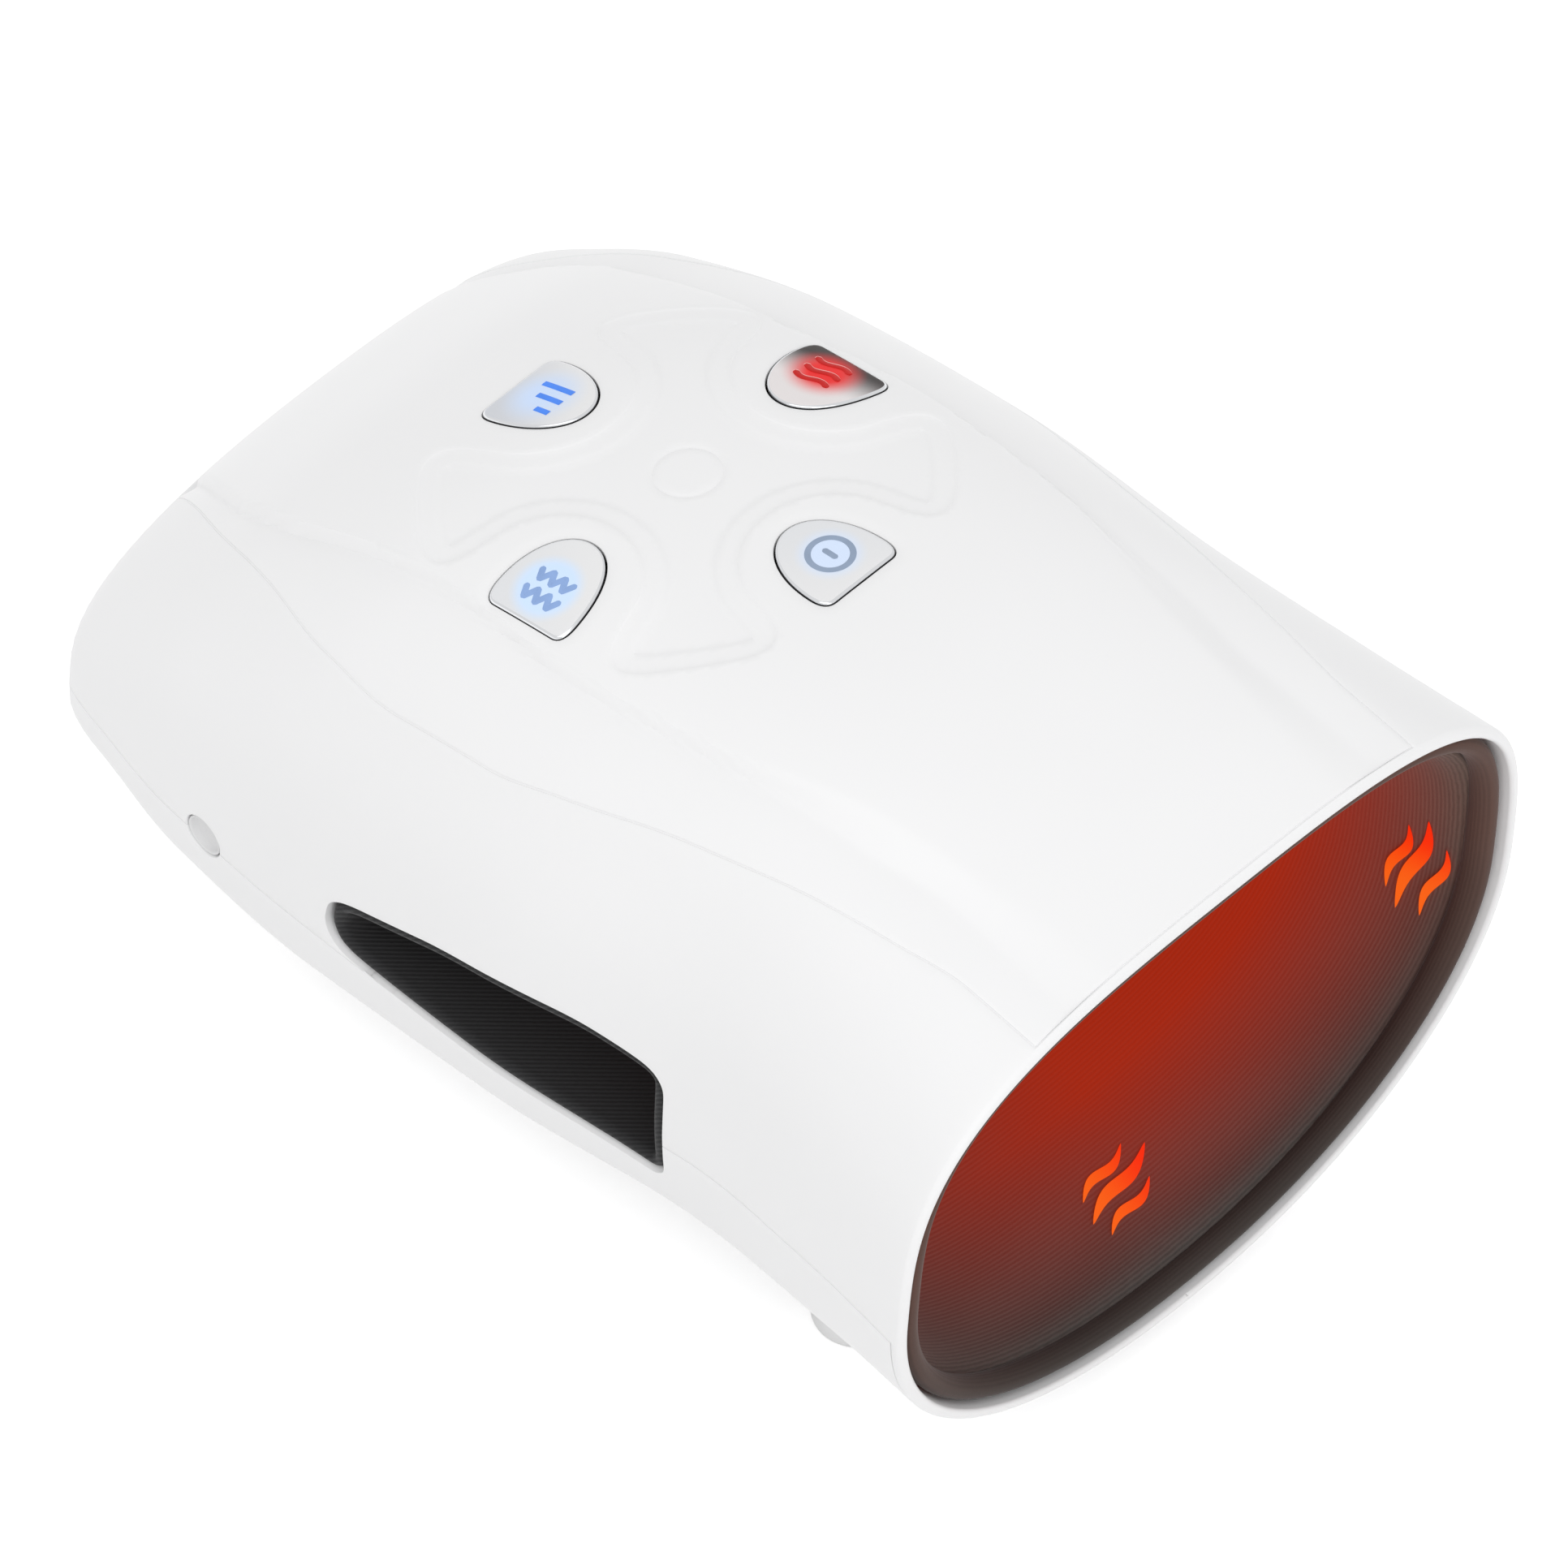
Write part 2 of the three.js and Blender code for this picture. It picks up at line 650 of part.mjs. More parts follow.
function panelBox(x, y, bottom, top, width, depth) {
  return onPanel(new THREE.BoxGeometry(width, depth, top - bottom).translate(x, y, (top + bottom) / 2));
}

// Height of the skin over the panel plane at a button
function panelLift(spot) {
  const place = new THREE.Vector3(spot.x, spot.y, 0).applyMatrix4(panelMatrix);
  return (skinHeight(place.x, place.y - mouthY) - place.z) * Math.cos(panelTilt);
}

const slopedPitch = buttonPitch / Math.cos(panelTilt);
const buttonSpots = [
  { name: 'intensity', x: 0, y: slopedPitch, turn: 0 },
  { name: 'mode', x: -buttonPitch, y: 0, turn: Math.PI / 2 },
  { name: 'power', x: 0, y: -slopedPitch, turn: Math.PI },
  { name: 'heat', x: buttonPitch, y: 0, turn: -Math.PI / 2 },
];

// Button outline: straight outward edge, sides that curve to an arc on the inward side
function buttonOutline(spot, grow) {
  const half = buttonHalfWidth;
  const straight = half * buttonCurveShares.straight;
  const nose = half * buttonCurveShares.nose;
  const shoulder = buttonOuterReach * buttonCurveShares.shoulder;
  const flank = buttonInnerReach * buttonCurveShares.flank;
  const shape = new THREE.Shape();
  shape.moveTo(-straight, buttonOuterReach);
  shape.lineTo(straight, buttonOuterReach);
  shape.quadraticCurveTo(half, buttonOuterReach, half, shoulder);
  shape.bezierCurveTo(half, -flank, nose, -buttonInnerReach, 0, -buttonInnerReach);
  shape.bezierCurveTo(-nose, -buttonInnerReach, -half, -flank, -half, shoulder);
  shape.quadraticCurveTo(-half, buttonOuterReach, -straight, buttonOuterReach);
  const points = shape.getPoints(3).slice(0, -1).map((point) => [point.x, point.y]);
  return grownOutline(points, grow).map(([x, y]) => {
    const turned = new THREE.Vector2(x, y).rotateAround(new THREE.Vector2(), spot.turn);
    return [turned.x + spot.x, turned.y + spot.y];
  });
}

// Relief outline in plan: an arc round each button, lobes on the diagonals between them
function reliefOutline(inset) {
  const points = [];
  const arcRadius = buttonPitch * reliefShares.arcRadius + inset;
  const sweep = THREE.MathUtils.degToRad(reliefArcSweep);
  const lobe = buttonPitch * reliefShares.lobeReach - inset;
  const side = buttonPitch * reliefShares.lobeHalfWidth - inset * lobeInsetShare;
  const shoulder = lobe - buttonPitch * reliefShares.lobeCorner;
  const tip = lobe - buttonPitch * reliefShares.tipReach;
  const tipSide = side - buttonPitch * reliefShares.tipAcross;
  for (let quarter = 0; quarter < 4; quarter += 1) {
    const quarterTurn = (Math.PI / 2) * quarter;
    const put = (x, y) => {
      const turned = new THREE.Vector2(x, y).rotateAround(new THREE.Vector2(), quarterTurn);
      points.push([turned.x, turned.y]);
    };
    for (let step = 0; step <= reliefArcSteps; step += 1) {
      const angle = sweep - (2 * sweep * step) / reliefArcSteps;
      put(arcRadius * Math.sin(angle), buttonPitch - arcRadius * Math.cos(angle));
    }
    const diagonal = (reach, across) => put(
      (-reach - across) * Math.SQRT1_2,
      (reach - across) * Math.SQRT1_2,
    );
    diagonal(shoulder, -side);
    diagonal(tip, -tipSide);
    diagonal(lobe, 0);
    diagonal(tip, tipSide);
    diagonal(shoulder, side);
  }
  return points;
}

// Sloping border strip of the relief, as a ring of four-sided sections
function reliefBorderSolid() {
  const inner = reliefOutline(reliefBorder);
  const outer = reliefOutline(0);
  return ringSolid(inner.map(([innerX, innerY], i) => {
    const [outerX, outerY] = outer[i];
    return [
      skinPoint(innerX, panelAlong + innerY, reliefDepth),
      skinPoint(innerX, panelAlong + innerY, -overrun),
      skinPoint(outerX, panelAlong + outerY, -overrun),
      skinPoint(outerX, panelAlong + outerY, -reliefEdgeRise),
    ];
  }), true);
}

function reliefFloorSolid() {
  const floor = reliefOutline(reliefBorder - reliefOverlap).map(([x, y]) => [x, y + mouthY + panelAlong]);
  return planPrism(floor, footHeight, footHeight + shellHeight + overrun)
    .intersect(skinSlab({ outer: -overrun, inner: reliefDepth }));
}

function centreRingGroove() {
  const low = -coverThickness;
  const radius = buttonPitch * reliefShares.centreRing;
  const ring = panelRod(0, 0, low, overrun, radius, 24)
    .subtract(panelRod(0, 0, low - overrun, 2 * overrun, radius - centreRingWidth, 24));
  return ring.intersect(skinSlab({ outer: -overrun, inner: reliefDepth + centreRingDepth }));
}

// Thumb opening outline as [along, height] points
function thumbOutline(grow = 0) {
  const corner = (along, z, startAngle) => [0, 1, 2, 3].map((step) => {
    const angle = startAngle - (Math.PI / 6) * step;
    return [along + thumbCorner * Math.cos(angle), z + thumbCorner * Math.sin(angle)];
  });
  const place = ([share, rise]) => [thumbFront + thumbLength * share, thumbBottom + thumbHeight * rise];
  const points = [
    ...corner(thumbFront + thumbCorner, thumbBottom + thumbCorner, -Math.PI / 2),
    ...corner(thumbFront + thumbCorner, thumbBottom + thumbHeight - thumbCorner, Math.PI),
    ...thumbEdgeShares.map(place),
    ...thumbFarCornerShares.map(place),
  ];
  return grownOutline(points, grow);
}

function thumbPrism(grow) {
  return sidePrism(thumbOutline(grow), cavityHalfWidth(cavityEnd()), mouthWidth);
}

function bothThumbs(grow) {
  const right = thumbPrism(grow);
  return right.add(mirroredX(right));
}

// Region above the lower seam, moved by a gap
function aboveSeam(offset) {
  const steps = 20;
  const edge = Array.from({ length: steps + 1 }, (_, i) => {
    const along = (bodyLength * i) / steps;
    return [along, footHeight + lowerSeam(along) + offset];
  });
  const top = footHeight + shellHeight + overrun;
  const points = [[-overrun, top], [-overrun, edge[0][1]], ...edge,
    [bodyLength + overrun, edge[steps][1]], [bodyLength + overrun, top]];
  return sidePrism(points, -mouthWidth, mouthWidth);
}

function portHole(radius) {
  return rod('x', [-mouthWidth, mouthY + portAlong, portHeight], radius, mouthWidth - portInner, radius, 20);
}

const outerBody = bodySolid(0, outerPoints);
const innerBody = bodySolid(-shellWall, innerPoints);
const shell = outerBody.subtract(innerBody);
const thumbRims = outerBody.subtract(bodySolid(-shellWall - thumbRimThickness, innerPoints))
  .intersect(bothThumbs(thumbRimWidth));
const thumbHoles = bothThumbs(0);

function mouthSlice(depth) {
  return boxBetween([-mouthWidth, mouthY - overrun, -overrun], [mouthWidth, mouthY + depth, shellHeight * 2]);
}

function upperHousing() {
  const ledgeDepth = coverThickness + clearance + ledgeThickness;
  const ledge = skinSlab({
    outer: shellWall / 2, inner: ledgeDepth, grow: ledgeReach / 2, front: ledgeStart, columns: coverColumns,
  }).intersect(outerBody);
  const coverPocket = skinSlab({
    outer: -overrun, inner: coverThickness + clearance, grow: partingGap,
    front: coverFront - partingGap, back: coverBack + partingGap, columns: coverColumns,
  });
  const window = skinSlab({
    outer: -overrun, inner: ledgeDepth + overrun, grow: -ledgeReach,
    front: ledgeStart, back: coverBack - ledgeReach,
  });
  const lip = shell.intersect(mouthSlice(lipDepth));
  return joined([shell, ledge, thumbRims]).intersect(aboveSeam(partingGap / 2)).add(lip)
    .subtract(coverPocket).subtract(window).subtract(thumbHoles).subtract(portHole(portRadius + clearance));
}

function lowerBase() {
  const posts = postSpots().map(([x, y]) => rod('z', [x, y, footHeight], postRadius, cellHeight * 2, postRadius, 12));
  const trayRoom = cavitySolid(frameOutset(1) + clearance, frameStart - overrun, frameEnd + overrun, layerPoints);
  const headRoom = screwHeadRadius + clearance;
  const shankRoom = screwShankRadius + clearance;
  const recesses = postSpots().flatMap(([x, y]) => [
    rod('z', [x, y, -overrun], headRoom, screwSeatHeight + overrun, headRoom, 12),
    rod('z', [x, y, 0], shankRoom, mouthWidth / 2, shankRoom, 8),
  ]);
  return joined([shell, thumbRims]).subtract(aboveSeam(-partingGap / 2)).subtract(mouthSlice(lipDepth + partingGap))
    .add(joined(posts).intersect(outerBody).subtract(trayRoom))
    .subtract(thumbHoles).subtract(portHole(portRadius + clearance)).subtract(joined(recesses));
}

function topCover() {
  const wells = buttonSpots.map((spot) => panelPrism(buttonOutline(spot, buttonGap), -boardDepth, 2 * overrun));
  return skinSlab({ outer: 0, inner: coverThickness, columns: coverColumns })
    .subtract(reliefBorderSolid().add(reliefFloorSolid()).add(centreRingGroove()).add(joined(wells)));
}

// Layers round the hand: lining, heater, air bags, then the rigid frames
function heaterOutset(side) {
  return liningThickness + clearance + (side > 0 ? heaterThickness : 0);
}

function airbagOutset(side) {
  return liningThickness + heaterThickness + 2 * clearance + (side > 0 ? airbagThickness : 0);
}

function frameOutset(side) {
  return airbagOutset(1) + clearance + (side > 0 ? frameThickness : 0);
}

function cavityEnd() {
  return cavityStations[cavityStations.length - 1][0];
}

function halfSpace(upper, gap) {
  const reach = 2 * shellHeight;
  return upper
    ? boxBetween([-reach, -reach, cavitySplit + gap / 2], [reach, reach, reach])
    : boxBetween([-reach, -reach, -reach], [reach, reach, cavitySplit - gap / 2]);
}

function liningHalf(upper) {
  const start = cavityStations[0][0];
  const outer = cavitySolid(liningThickness, start, cavityEnd(), layerPoints, liningThickness);
  const inner = cavitySolid(0, start - overrun / 2, cavityEnd(), layerPoints);
  return outer.subtract(inner).subtract(bothThumbs(-clearance - thumbWall)).intersect(halfSpace(upper, clearance));
}

function frameHalf(upper) {
  const outer = cavitySolid(frameOutset(1), frameStart, frameEnd, layerPoints);
  const inner = cavitySolid(frameOutset(0), frameStart - overrun, frameEnd + overrun, layerPoints);
  return outer.subtract(inner).subtract(bothThumbs(thumbRimWidth + clearance))
    .intersect(halfSpace(upper, clearance));
}

function roundedArea([start, end, share]) {
  const shape = new THREE.Shape();
  const low = mouthY + start * bodyLength;
  const high = mouthY + end * bodyLength;
  const halfWidth = (mouthWidth / 2) * share;
  shape.moveTo(-halfWidth + padCorner, low);
  shape.lineTo(halfWidth - padCorner, low);
  shape.quadraticCurveTo(halfWidth, low, halfWidth, low + padCorner);
  shape.lineTo(halfWidth, high - padCorner);
  shape.quadraticCurveTo(halfWidth, high, halfWidth - padCorner, high);
  shape.lineTo(-halfWidth + padCorner, high);
  shape.quadraticCurveTo(-halfWidth, high, -halfWidth, high - padCorner);
  shape.lineTo(-halfWidth, low + padCorner);
  shape.quadraticCurveTo(-halfWidth, low, -halfWidth + padCorner, low);
  return shape.getPoints(3).slice(0, -1).map((point) => [point.x, point.y]);
}

// Pad that lies on the cavity between two outsets, above or below the hand
function cavityPad(area, inner, outer, upper) {
  const [start, end] = area.map((share) => share * bodyLength);
  const layer = cavitySolid(outer, start - overrun, end + overrun, layerPoints)
    .subtract(cavitySolid(inner, start - 2 * overrun, end + 2 * overrun, layerPoints));
  const reach = 2 * shellHeight;
  const side = upper ? [cavitySplit, reach] : [-reach, cavitySplit];
  return layer.intersect(planPrism(roundedArea(area), ...side));
}

// Padded rim of the lining just inside the lip
function liningRim() {
  const inset = Math.max(shellWall, coverThickness) + clearance + rimRadius;
  const spine = sectionRing(bodySection(rimAlong, -inset), mouthY + rimAlong, innerPoints);
  const outwards = sectionRing(bodySection(rimAlong, -inset + rimRadius), mouthY + rimAlong, innerPoints);
  return ringSolid(spine.map((point, i) => {
    const out = outwards[i].clone().sub(point).normalize();
    return Array.from({ length: rimSides }, (_, side) => {
      const angle = (fullTurn * side) / rimSides;
      return point.clone().addScaledVector(out, rimRadius * Math.cos(angle))
        .add(new THREE.Vector3(0, rimRadius * Math.sin(angle), 0));
    });
  }), true);
}

// Fabric sleeve from the lining out to the thumb opening in the side wall
function thumbSleeve(side) {
  const bagHalf = (mouthWidth / 2) * handBagShares[2] + clearance;
  const right = thumbPrism(-clearance).subtract(thumbPrism(-clearance - thumbWall))
    .intersect(boxBetween([bagHalf, mouthY, 0], [mouthWidth, bodyLength, shellHeight]));
  const tube = side > 0 ? right : mirroredX(right);
  return tube.intersect(bodySolid(-shellWall / 2, innerPoints))
    .subtract(cavitySolid(liningThickness + clearance, liningStart, cavityEnd(), layerPoints));
}

function controlBoard() {
  const plate = panelRod(0, 0, -boardDepth - boardThickness, -boardDepth, boardRadius, 32);
  const holes = boardPostSpots().map(([x, y]) => (
    panelRod(x, y, -boardDepth - 2 * overrun, 0, screwShankRadius + clearance, 8)));
  return plate.subtract(joined(holes));
}

function boardPostSpots() {
  const reach = boardRadius * boardPostShare * Math.SQRT1_2;
  return [[-reach, -reach], [reach, -reach], [-reach, reach], [reach, reach]];
}

function postSpots() {
  return postAlongs.flatMap((along) => [-postAcross, postAcross].map((x) => [x, mouthY + along]));
}

// Arch over the hand with its board posts, pump saddles, valve seats and hose barb
function innerArch() {
  const room = cavitySolid(frameOutset(1) - clearance, liningStart, frameEnd + overrun, layerPoints);
  const posts = boardPostSpots().map(([x, y]) => (
    panelRod(x, y, -shellHeight / 2, -boardDepth - boardThickness - clearance, boardPostRadius, 8)));
  const saddleBack = motorFace - motorLength;
  const pumpY = mouthY + pumpAlong;
  const saddleStarts = [
    saddleBack + saddleLength / 2, motorFace - saddleSetbackShare * saddleLength, pumpHeadLength / 2,
  ];
  const saddles = saddleStarts.map((x) => boxBetween(
    [x, pumpY - saddleWidth / 2, cavitySplit],
    [x + saddleLength, pumpY + saddleWidth / 2, pumpHeight],
  ));
  const pumpRoom = rod('x', [saddleBack - overrun, pumpY, pumpHeight], motorRadius + clearance, motorLength + overrun)
    .add(boxBetween(
      [motorFace, pumpY - pumpHeadWidth, pumpHeight - pumpHeadWidth / 2 - clearance],
      [pumpHeadLength * 2, pumpY + pumpHeadWidth, pumpHeight + pumpHeadWidth],
    ));
  const seats = [-1, 1].map((side) => valveBox(side, cavitySplit, valveBottom - clearance, clearance));
  const barb = boxBetween(
    [barbAcross - barbSize / 2, mouthY + barbAlong, cavitySplit],
    [barbAcross + barbSize / 2, mouthY + barbAlong + barbSize, hoseEndHeight() + hoseRadius + 2 * clearance],
  );
  return frameHalf(true).add(joined([...posts, ...saddles, ...seats, barb]).subtract(room)).subtract(pumpRoom);
}

function hoseEndHeight() {
  return cavitySurface(barbAcross - hoseRadius, barbAlong - 3 * hoseRadius) + hoseRadius + 2 * clearance;
}

function cavitySurface(x, along) {
  const section = cavitySection(along, frameOutset(1));
  const rise = (1 - (Math.abs(x) / section.halfWidth) ** section.topPower) ** (1 / section.topPower);
  return section.middle + (section.top - section.middle) * rise;
}

function valveBox(side, bottom, top, inset = 0) {
  const x = side * valveAcross;
  const y = mouthY + valveAlong;
  return boxBetween(
    [x - valveWidth / 2 + inset, y - valveDepth / 2 + inset, bottom],
    [x + valveWidth / 2 - inset, y + valveDepth / 2 - inset, top],
  );
}

function airValve(side) {
  const start = [side * valveAcross, mouthY + valveAlong, valveBottom + valveHeight - plungerLength - plungerTravel];
  return valveBox(side, valveBottom, valveBottom + valveHeight)
    .subtract(rod('z', start, plungerRadius + clearance, plungerLength * 2, plungerRadius + clearance, 12));
}

function valvePlunger(side) {
  const capBottom = valveBottom + valveHeight + plungerTravel + clearance;
  const bottom = capBottom - plungerLength - clearance;
  const centre = [side * valveAcross, mouthY + valveAlong];
  return rod('z', [...centre, bottom], plungerRadius, capBottom - bottom, plungerRadius, 12)
    .add(rod('z', [...centre, capBottom], plungerCapRadius, plungerCapHeight, plungerCapRadius, 12));
}

function pumpMotor() {
  const y = mouthY + pumpAlong;
  const can = rod('x', [motorFace - motorLength, y, pumpHeight], motorRadius, motorLength);
  const seatRadius = shaftRadius + clearance;
  const seatStart = [motorFace - eccentricThickness, y, pumpHeight];
  return can.subtract(rod('x', seatStart, seatRadius, motorLength, seatRadius, 8));
}

function pumpEccentric() {
  const y = mouthY + pumpAlong;
  const discStart = pumpHeadStart - clearance - crankPinLength - eccentricThickness;
  const shaftStart = motorFace - eccentricThickness + clearance;
  const shaftLength = discStart - shaftStart + eccentricThickness / 2;
  return joined([
    rod('x', [shaftStart, y, pumpHeight], shaftRadius, shaftLength, shaftRadius, 8),
    rod('x', [discStart, y, pumpHeight], eccentricRadius, eccentricThickness, eccentricRadius, 16),
    rod('x', [discStart, y, pumpHeight + crankPinOffset], crankPinRadius, eccentricThickness + crankPinLength,
      crankPinRadius, 8),
  ]);
}

function pumpHead() {
  const y = mouthY + pumpAlong;
  const half = pumpHeadWidth / 2;
  const block = boxBetween([pumpHeadStart, y - half, pumpHeight - half],
    [pumpHeadStart + pumpHeadLength, y + half, pumpHeight + half]);
  const arms = [-1, 1].map((side) => boxBetween(
    [motorFace + clearance, y + side * (half - pumpArmWidth / 2) - pumpArmWidth / 2, pumpHeight - half / 2],
    [pumpHeadStart + pumpArmWidth, y + side * (half - pumpArmWidth / 2) + pumpArmWidth / 2, pumpHeight + half / 2],
  ));
  const nozzle = rod('x', [pumpHeadStart + pumpHeadLength - nozzleLength, y, pumpHeight], nozzleRadius,
    2 * nozzleLength, nozzleRadius, 8);
  const frontNozzle = rod('y', [pumpHeadStart + pumpHeadLength / 2, y - half - nozzleLength, pumpHeight],
    nozzleRadius, 2 * nozzleLength, nozzleRadius, 8);
  return joined([block, ...arms, nozzle, frontNozzle]);
}

// Tube along a smooth route; the points are hose centres
function hose(points, steps) {
  const route = new THREE.CatmullRomCurve3(points.map((point) => new THREE.Vector3(...point)), false, 'centripetal');
  const section = new THREE.Shape().absarc(0, 0, hoseRadius, 0, fullTurn);
  const ring = new THREE.Shape(section.getPoints(4).slice(0, -1));
  return toSolid(new THREE.ExtrudeGeometry(ring, { steps, extrudePath: route, bevelEnabled: false }));
}

function rightHose() {
  const y = mouthY + pumpAlong;
  const startX = pumpHeadStart + pumpHeadLength + nozzleLength + clearance;
  const endX = valveAcross - valveWidth / 2 - clearance;
  const endY = mouthY + valveAlong;
  const valveZ = valveBottom + valveHeight / 2 + hoseRadius / 2;
  return hose([
    [startX, y, pumpHeight],
    [startX + hoseRadius, y, pumpHeight],
    [endX - 2 * hoseRadius, (y + endY) / 2, (pumpHeight + valveZ) / 2],
    [endX - hoseRadius, endY, valveZ],
    [endX, endY, valveZ],
  ], 12);
}

function leftHose() {
  const y = mouthY + pumpAlong;
  const startX = pumpHeadStart + pumpHeadLength / 2;
  const startY = y - pumpHeadWidth / 2 - nozzleLength - clearance;
  const endX = Math.min(-valveAcross, motorFace - motorLength - 2 * hoseRadius) + hoseRadius - clearance;
  const endY = mouthY + valveAlong - valveDepth / 2 - clearance;
  const valveZ = valveBottom + valveHeight / 2 + hoseRadius / 2;
  const outY = startY - 1.5 * hoseRadius;
  return hose([
    [startX, startY, pumpHeight],
    [startX, startY - hoseRadius / 2, pumpHeight],
    [startX - hoseRadius, outY, pumpHeight],
    [startX - 4 * hoseRadius, outY - hoseRadius, pumpHeight],
    [motorFace - motorLength, outY - hoseRadius, pumpHeight - hoseRadius],
    [endX, outY + 2 * hoseRadius, valveZ + hoseRadius],
    [endX, endY - hoseRadius, valveZ],
    [endX, endY, valveZ],
  ], 20);
}

function fingerHose() {
  const endZ = hoseEndHeight();
  const startY = mouthY + valveAlong + valveDepth / 2 + clearance;
  const endY = mouthY + barbAlong - clearance;
  const valveZ = valveBottom + valveHeight / 2;
  return hose([
    [valveAcross, startY, valveZ],
    [valveAcross, startY + hoseRadius, valveZ],
    [valveAcross - 2 * hoseRadius, (2 * startY + endY) / 3, (2 * valveZ + endZ) / 3],
    [barbAcross + 2 * hoseRadius, (startY + 2 * endY) / 3, (valveZ + 2 * endZ) / 3 + clearance],
    [barbAcross, endY - 1.5 * hoseRadius, endZ],
    [barbAcross, endY, endZ],
  ], 15);
}

function cell(side, grow = 0) {
  const y = mouthY + packAlong + (side * cellPitch) / 2;
  return rod('x', [-cellLength / 2 - grow, y, cellHeight], cellRadius + grow, cellLength + 2 * grow);
}

function batteryHolder() {
  const halfLength = cellLength / 2 + clearance + holderWall;
  const halfWidth = cellPitch / 2 + cellRadius + clearance + holderWall;
  const y = mouthY + packAlong;
  const tray = boxBetween([-halfLength, y - halfWidth, 0], [halfLength, y + halfWidth, cellHeight - holderDrop]);
  return tray.intersect(bodySolid(-shellWall - clearance, innerPoints))
    .subtract(cell(-1, clearance)).subtract(cell(1, clearance));
}

function chargeSocket() {
  const y = mouthY + portAlong;
  const wallX = bodySection(portAlong).halfWidth;
  const barrel = rod('x', [-wallX - overrun, y, portHeight], portRadius, wallX - portInner + overrun, portRadius, 16);
  const recess = rod('x', [-wallX - 2 * overrun, y, portHeight], portRadius - portRimWidth, 2 * overrun + portRecess,
    portRadius - portRimWidth, 16);
  const pin = rod('x', [-wallX + portRecess / 2, y, portHeight], pinRadius, portRecess, pinRadius, 8);
  return barrel.subtract(recess).add(pin).intersect(bodySolid(-clearance / 2, outerPoints));
}

function chargeBoard() {
  const y = mouthY + portAlong;
  const x = -portInner + clearance;
  const [below, above] = chargeBoardShares.map((share) => share * chargeBoardHeight);
  return boxBetween([x, y - chargeBoardWidth / 2, portHeight - below],
    [x + chargeBoardThickness, y + chargeBoardWidth / 2, portHeight + above]);
}

function foot(x, along) {
  return rod('z', [x, mouthY + along, 0], footFoldRadius, footTop, footRadius, 16)
    .subtract(bodySolid(clearance, outerPoints));
}

function caseScrew([x, y]) {
  const headBottom = screwSeatHeight - screwHeadHeight - clearance;
  return rod('z', [x, y, headBottom], screwHeadRadius, screwHeadHeight, screwHeadRadius, 10)
    .add(rod('z', [x, y, headBottom], screwShankRadius, screwLength, screwShankRadius, 8));
}

// Switches and lamps stand on the board; the stem of each light guide ends above its switch
const boardTop = -boardDepth;
const plungerTop = boardTop + clearance + switchHeight + switchPlungerHeight;

function tactSwitch(spot) {
  const bottom = boardTop + clearance;
  return panelBox(spot.x, spot.y, bottom, bottom + switchHeight, switchWidth, switchWidth)
    .add(panelRod(spot.x, spot.y, bottom, plungerTop, switchPlungerRadius, 8));
}

function lamp(spot) {
  const shift = new THREE.Vector2(0, -lampOffset).rotateAround(new THREE.Vector2(), spot.turn);
  const bottom = boardTop + clearance;
  return panelBox(spot.x + shift.x, spot.y + shift.y, bottom, bottom + lampHeight, lampWidth, lampWidth);
}

// Cap that follows the cover's skin, with a skirt and a flange that holds it under the cover
function buttonCap(spot) {
  const reach = 2 * boardDepth;
  const flangeTop = coverThickness + clearance;
  const cap = panelPrism(buttonOutline(spot, 0), -reach, reach)
    .intersect(skinSlab({ outer: -buttonProud, inner: buttonSkirt }));
  const flange = panelPrism(buttonOutline(spot, buttonFlange), -reach, reach)
    .intersect(skinSlab({ outer: flangeTop, inner: flangeTop + buttonFlangeHeight, columns: coverColumns }));
  const hollow = panelPrism(buttonOutline(spot, -buttonSideWall), -reach, reach)
    .intersect(skinSlab({ outer: buttonTopWall, inner: buttonSkirt + overrun }));
  return cap.add(flange).subtract(hollow);
}

function lightGuide(spot) {
  const reach = 2 * boardDepth;
  const top = buttonTopWall + clearance;
  const block = panelPrism(buttonOutline(spot, -buttonSideWall - clearance), -reach, reach)
    .intersect(skinSlab({ outer: top, inner: top + lightGuideThickness }));
  const stemTop = panelLift(spot) - top - stemRootShare * lightGuideThickness;
  return block.add(panelRod(spot.x, spot.y, plungerTop + clearance + buttonTravel, stemTop, stemRadius, 8));
}

const white = paint('#f0f0f0', 0.42);
const coverWhite = paint('#f2f2f3', 0.4);
const silver = paint('#c9ccd1', 0.3, 0.6);
const fabric = paint('#2b2625', 0.9);
const bladder = paint('#4a4f57', 0.7);
const frameGrey = paint('#8c9096', 0.6);
const boardGreen = paint('#1f5c3a', 0.5);
const darkPlastic = paint('#1c1d20', 0.5);
const steel = paint('#b4b7bb', 0.3, 0.9);
const clear = paint('#dfe9f2', 0.2);
const rubber = paint('#d5d5d3', 0.85);

const group = new THREE.Group();
const add = (name, solid, material) => group.add(toMesh(name, solid, material));

add('upper_housing', mainBody(upperHousing()), white);
add('top_cover', mainBody(topCover()), coverWhite);
add('lower_base', lowerBase(), white);
add('lining_upper', liningHalf(true), fabric);
add('lining_lower', liningHalf(false), fabric);
add('lining_rim', liningRim(), fabric);
add('thumb_sleeve_right', thumbSleeve(1), fabric);
add('thumb_sleeve_left', thumbSleeve(-1), fabric);
add('heater_film', cavityPad(heaterShares, heaterOutset(0), heaterOutset(1), true), paint('#c9772b', 0.5));
add('airbag_back_of_hand', cavityPad(handBagShares, airbagOutset(0), airbagOutset(1), true), bladder);
add('airbag_palm', cavityPad(handBagShares, airbagOutset(0), airbagOutset(1), false), bladder);
add('airbag_fingers_upper', cavityPad(fingerBagShares, airbagOutset(0), airbagOutset(1), true), bladder);
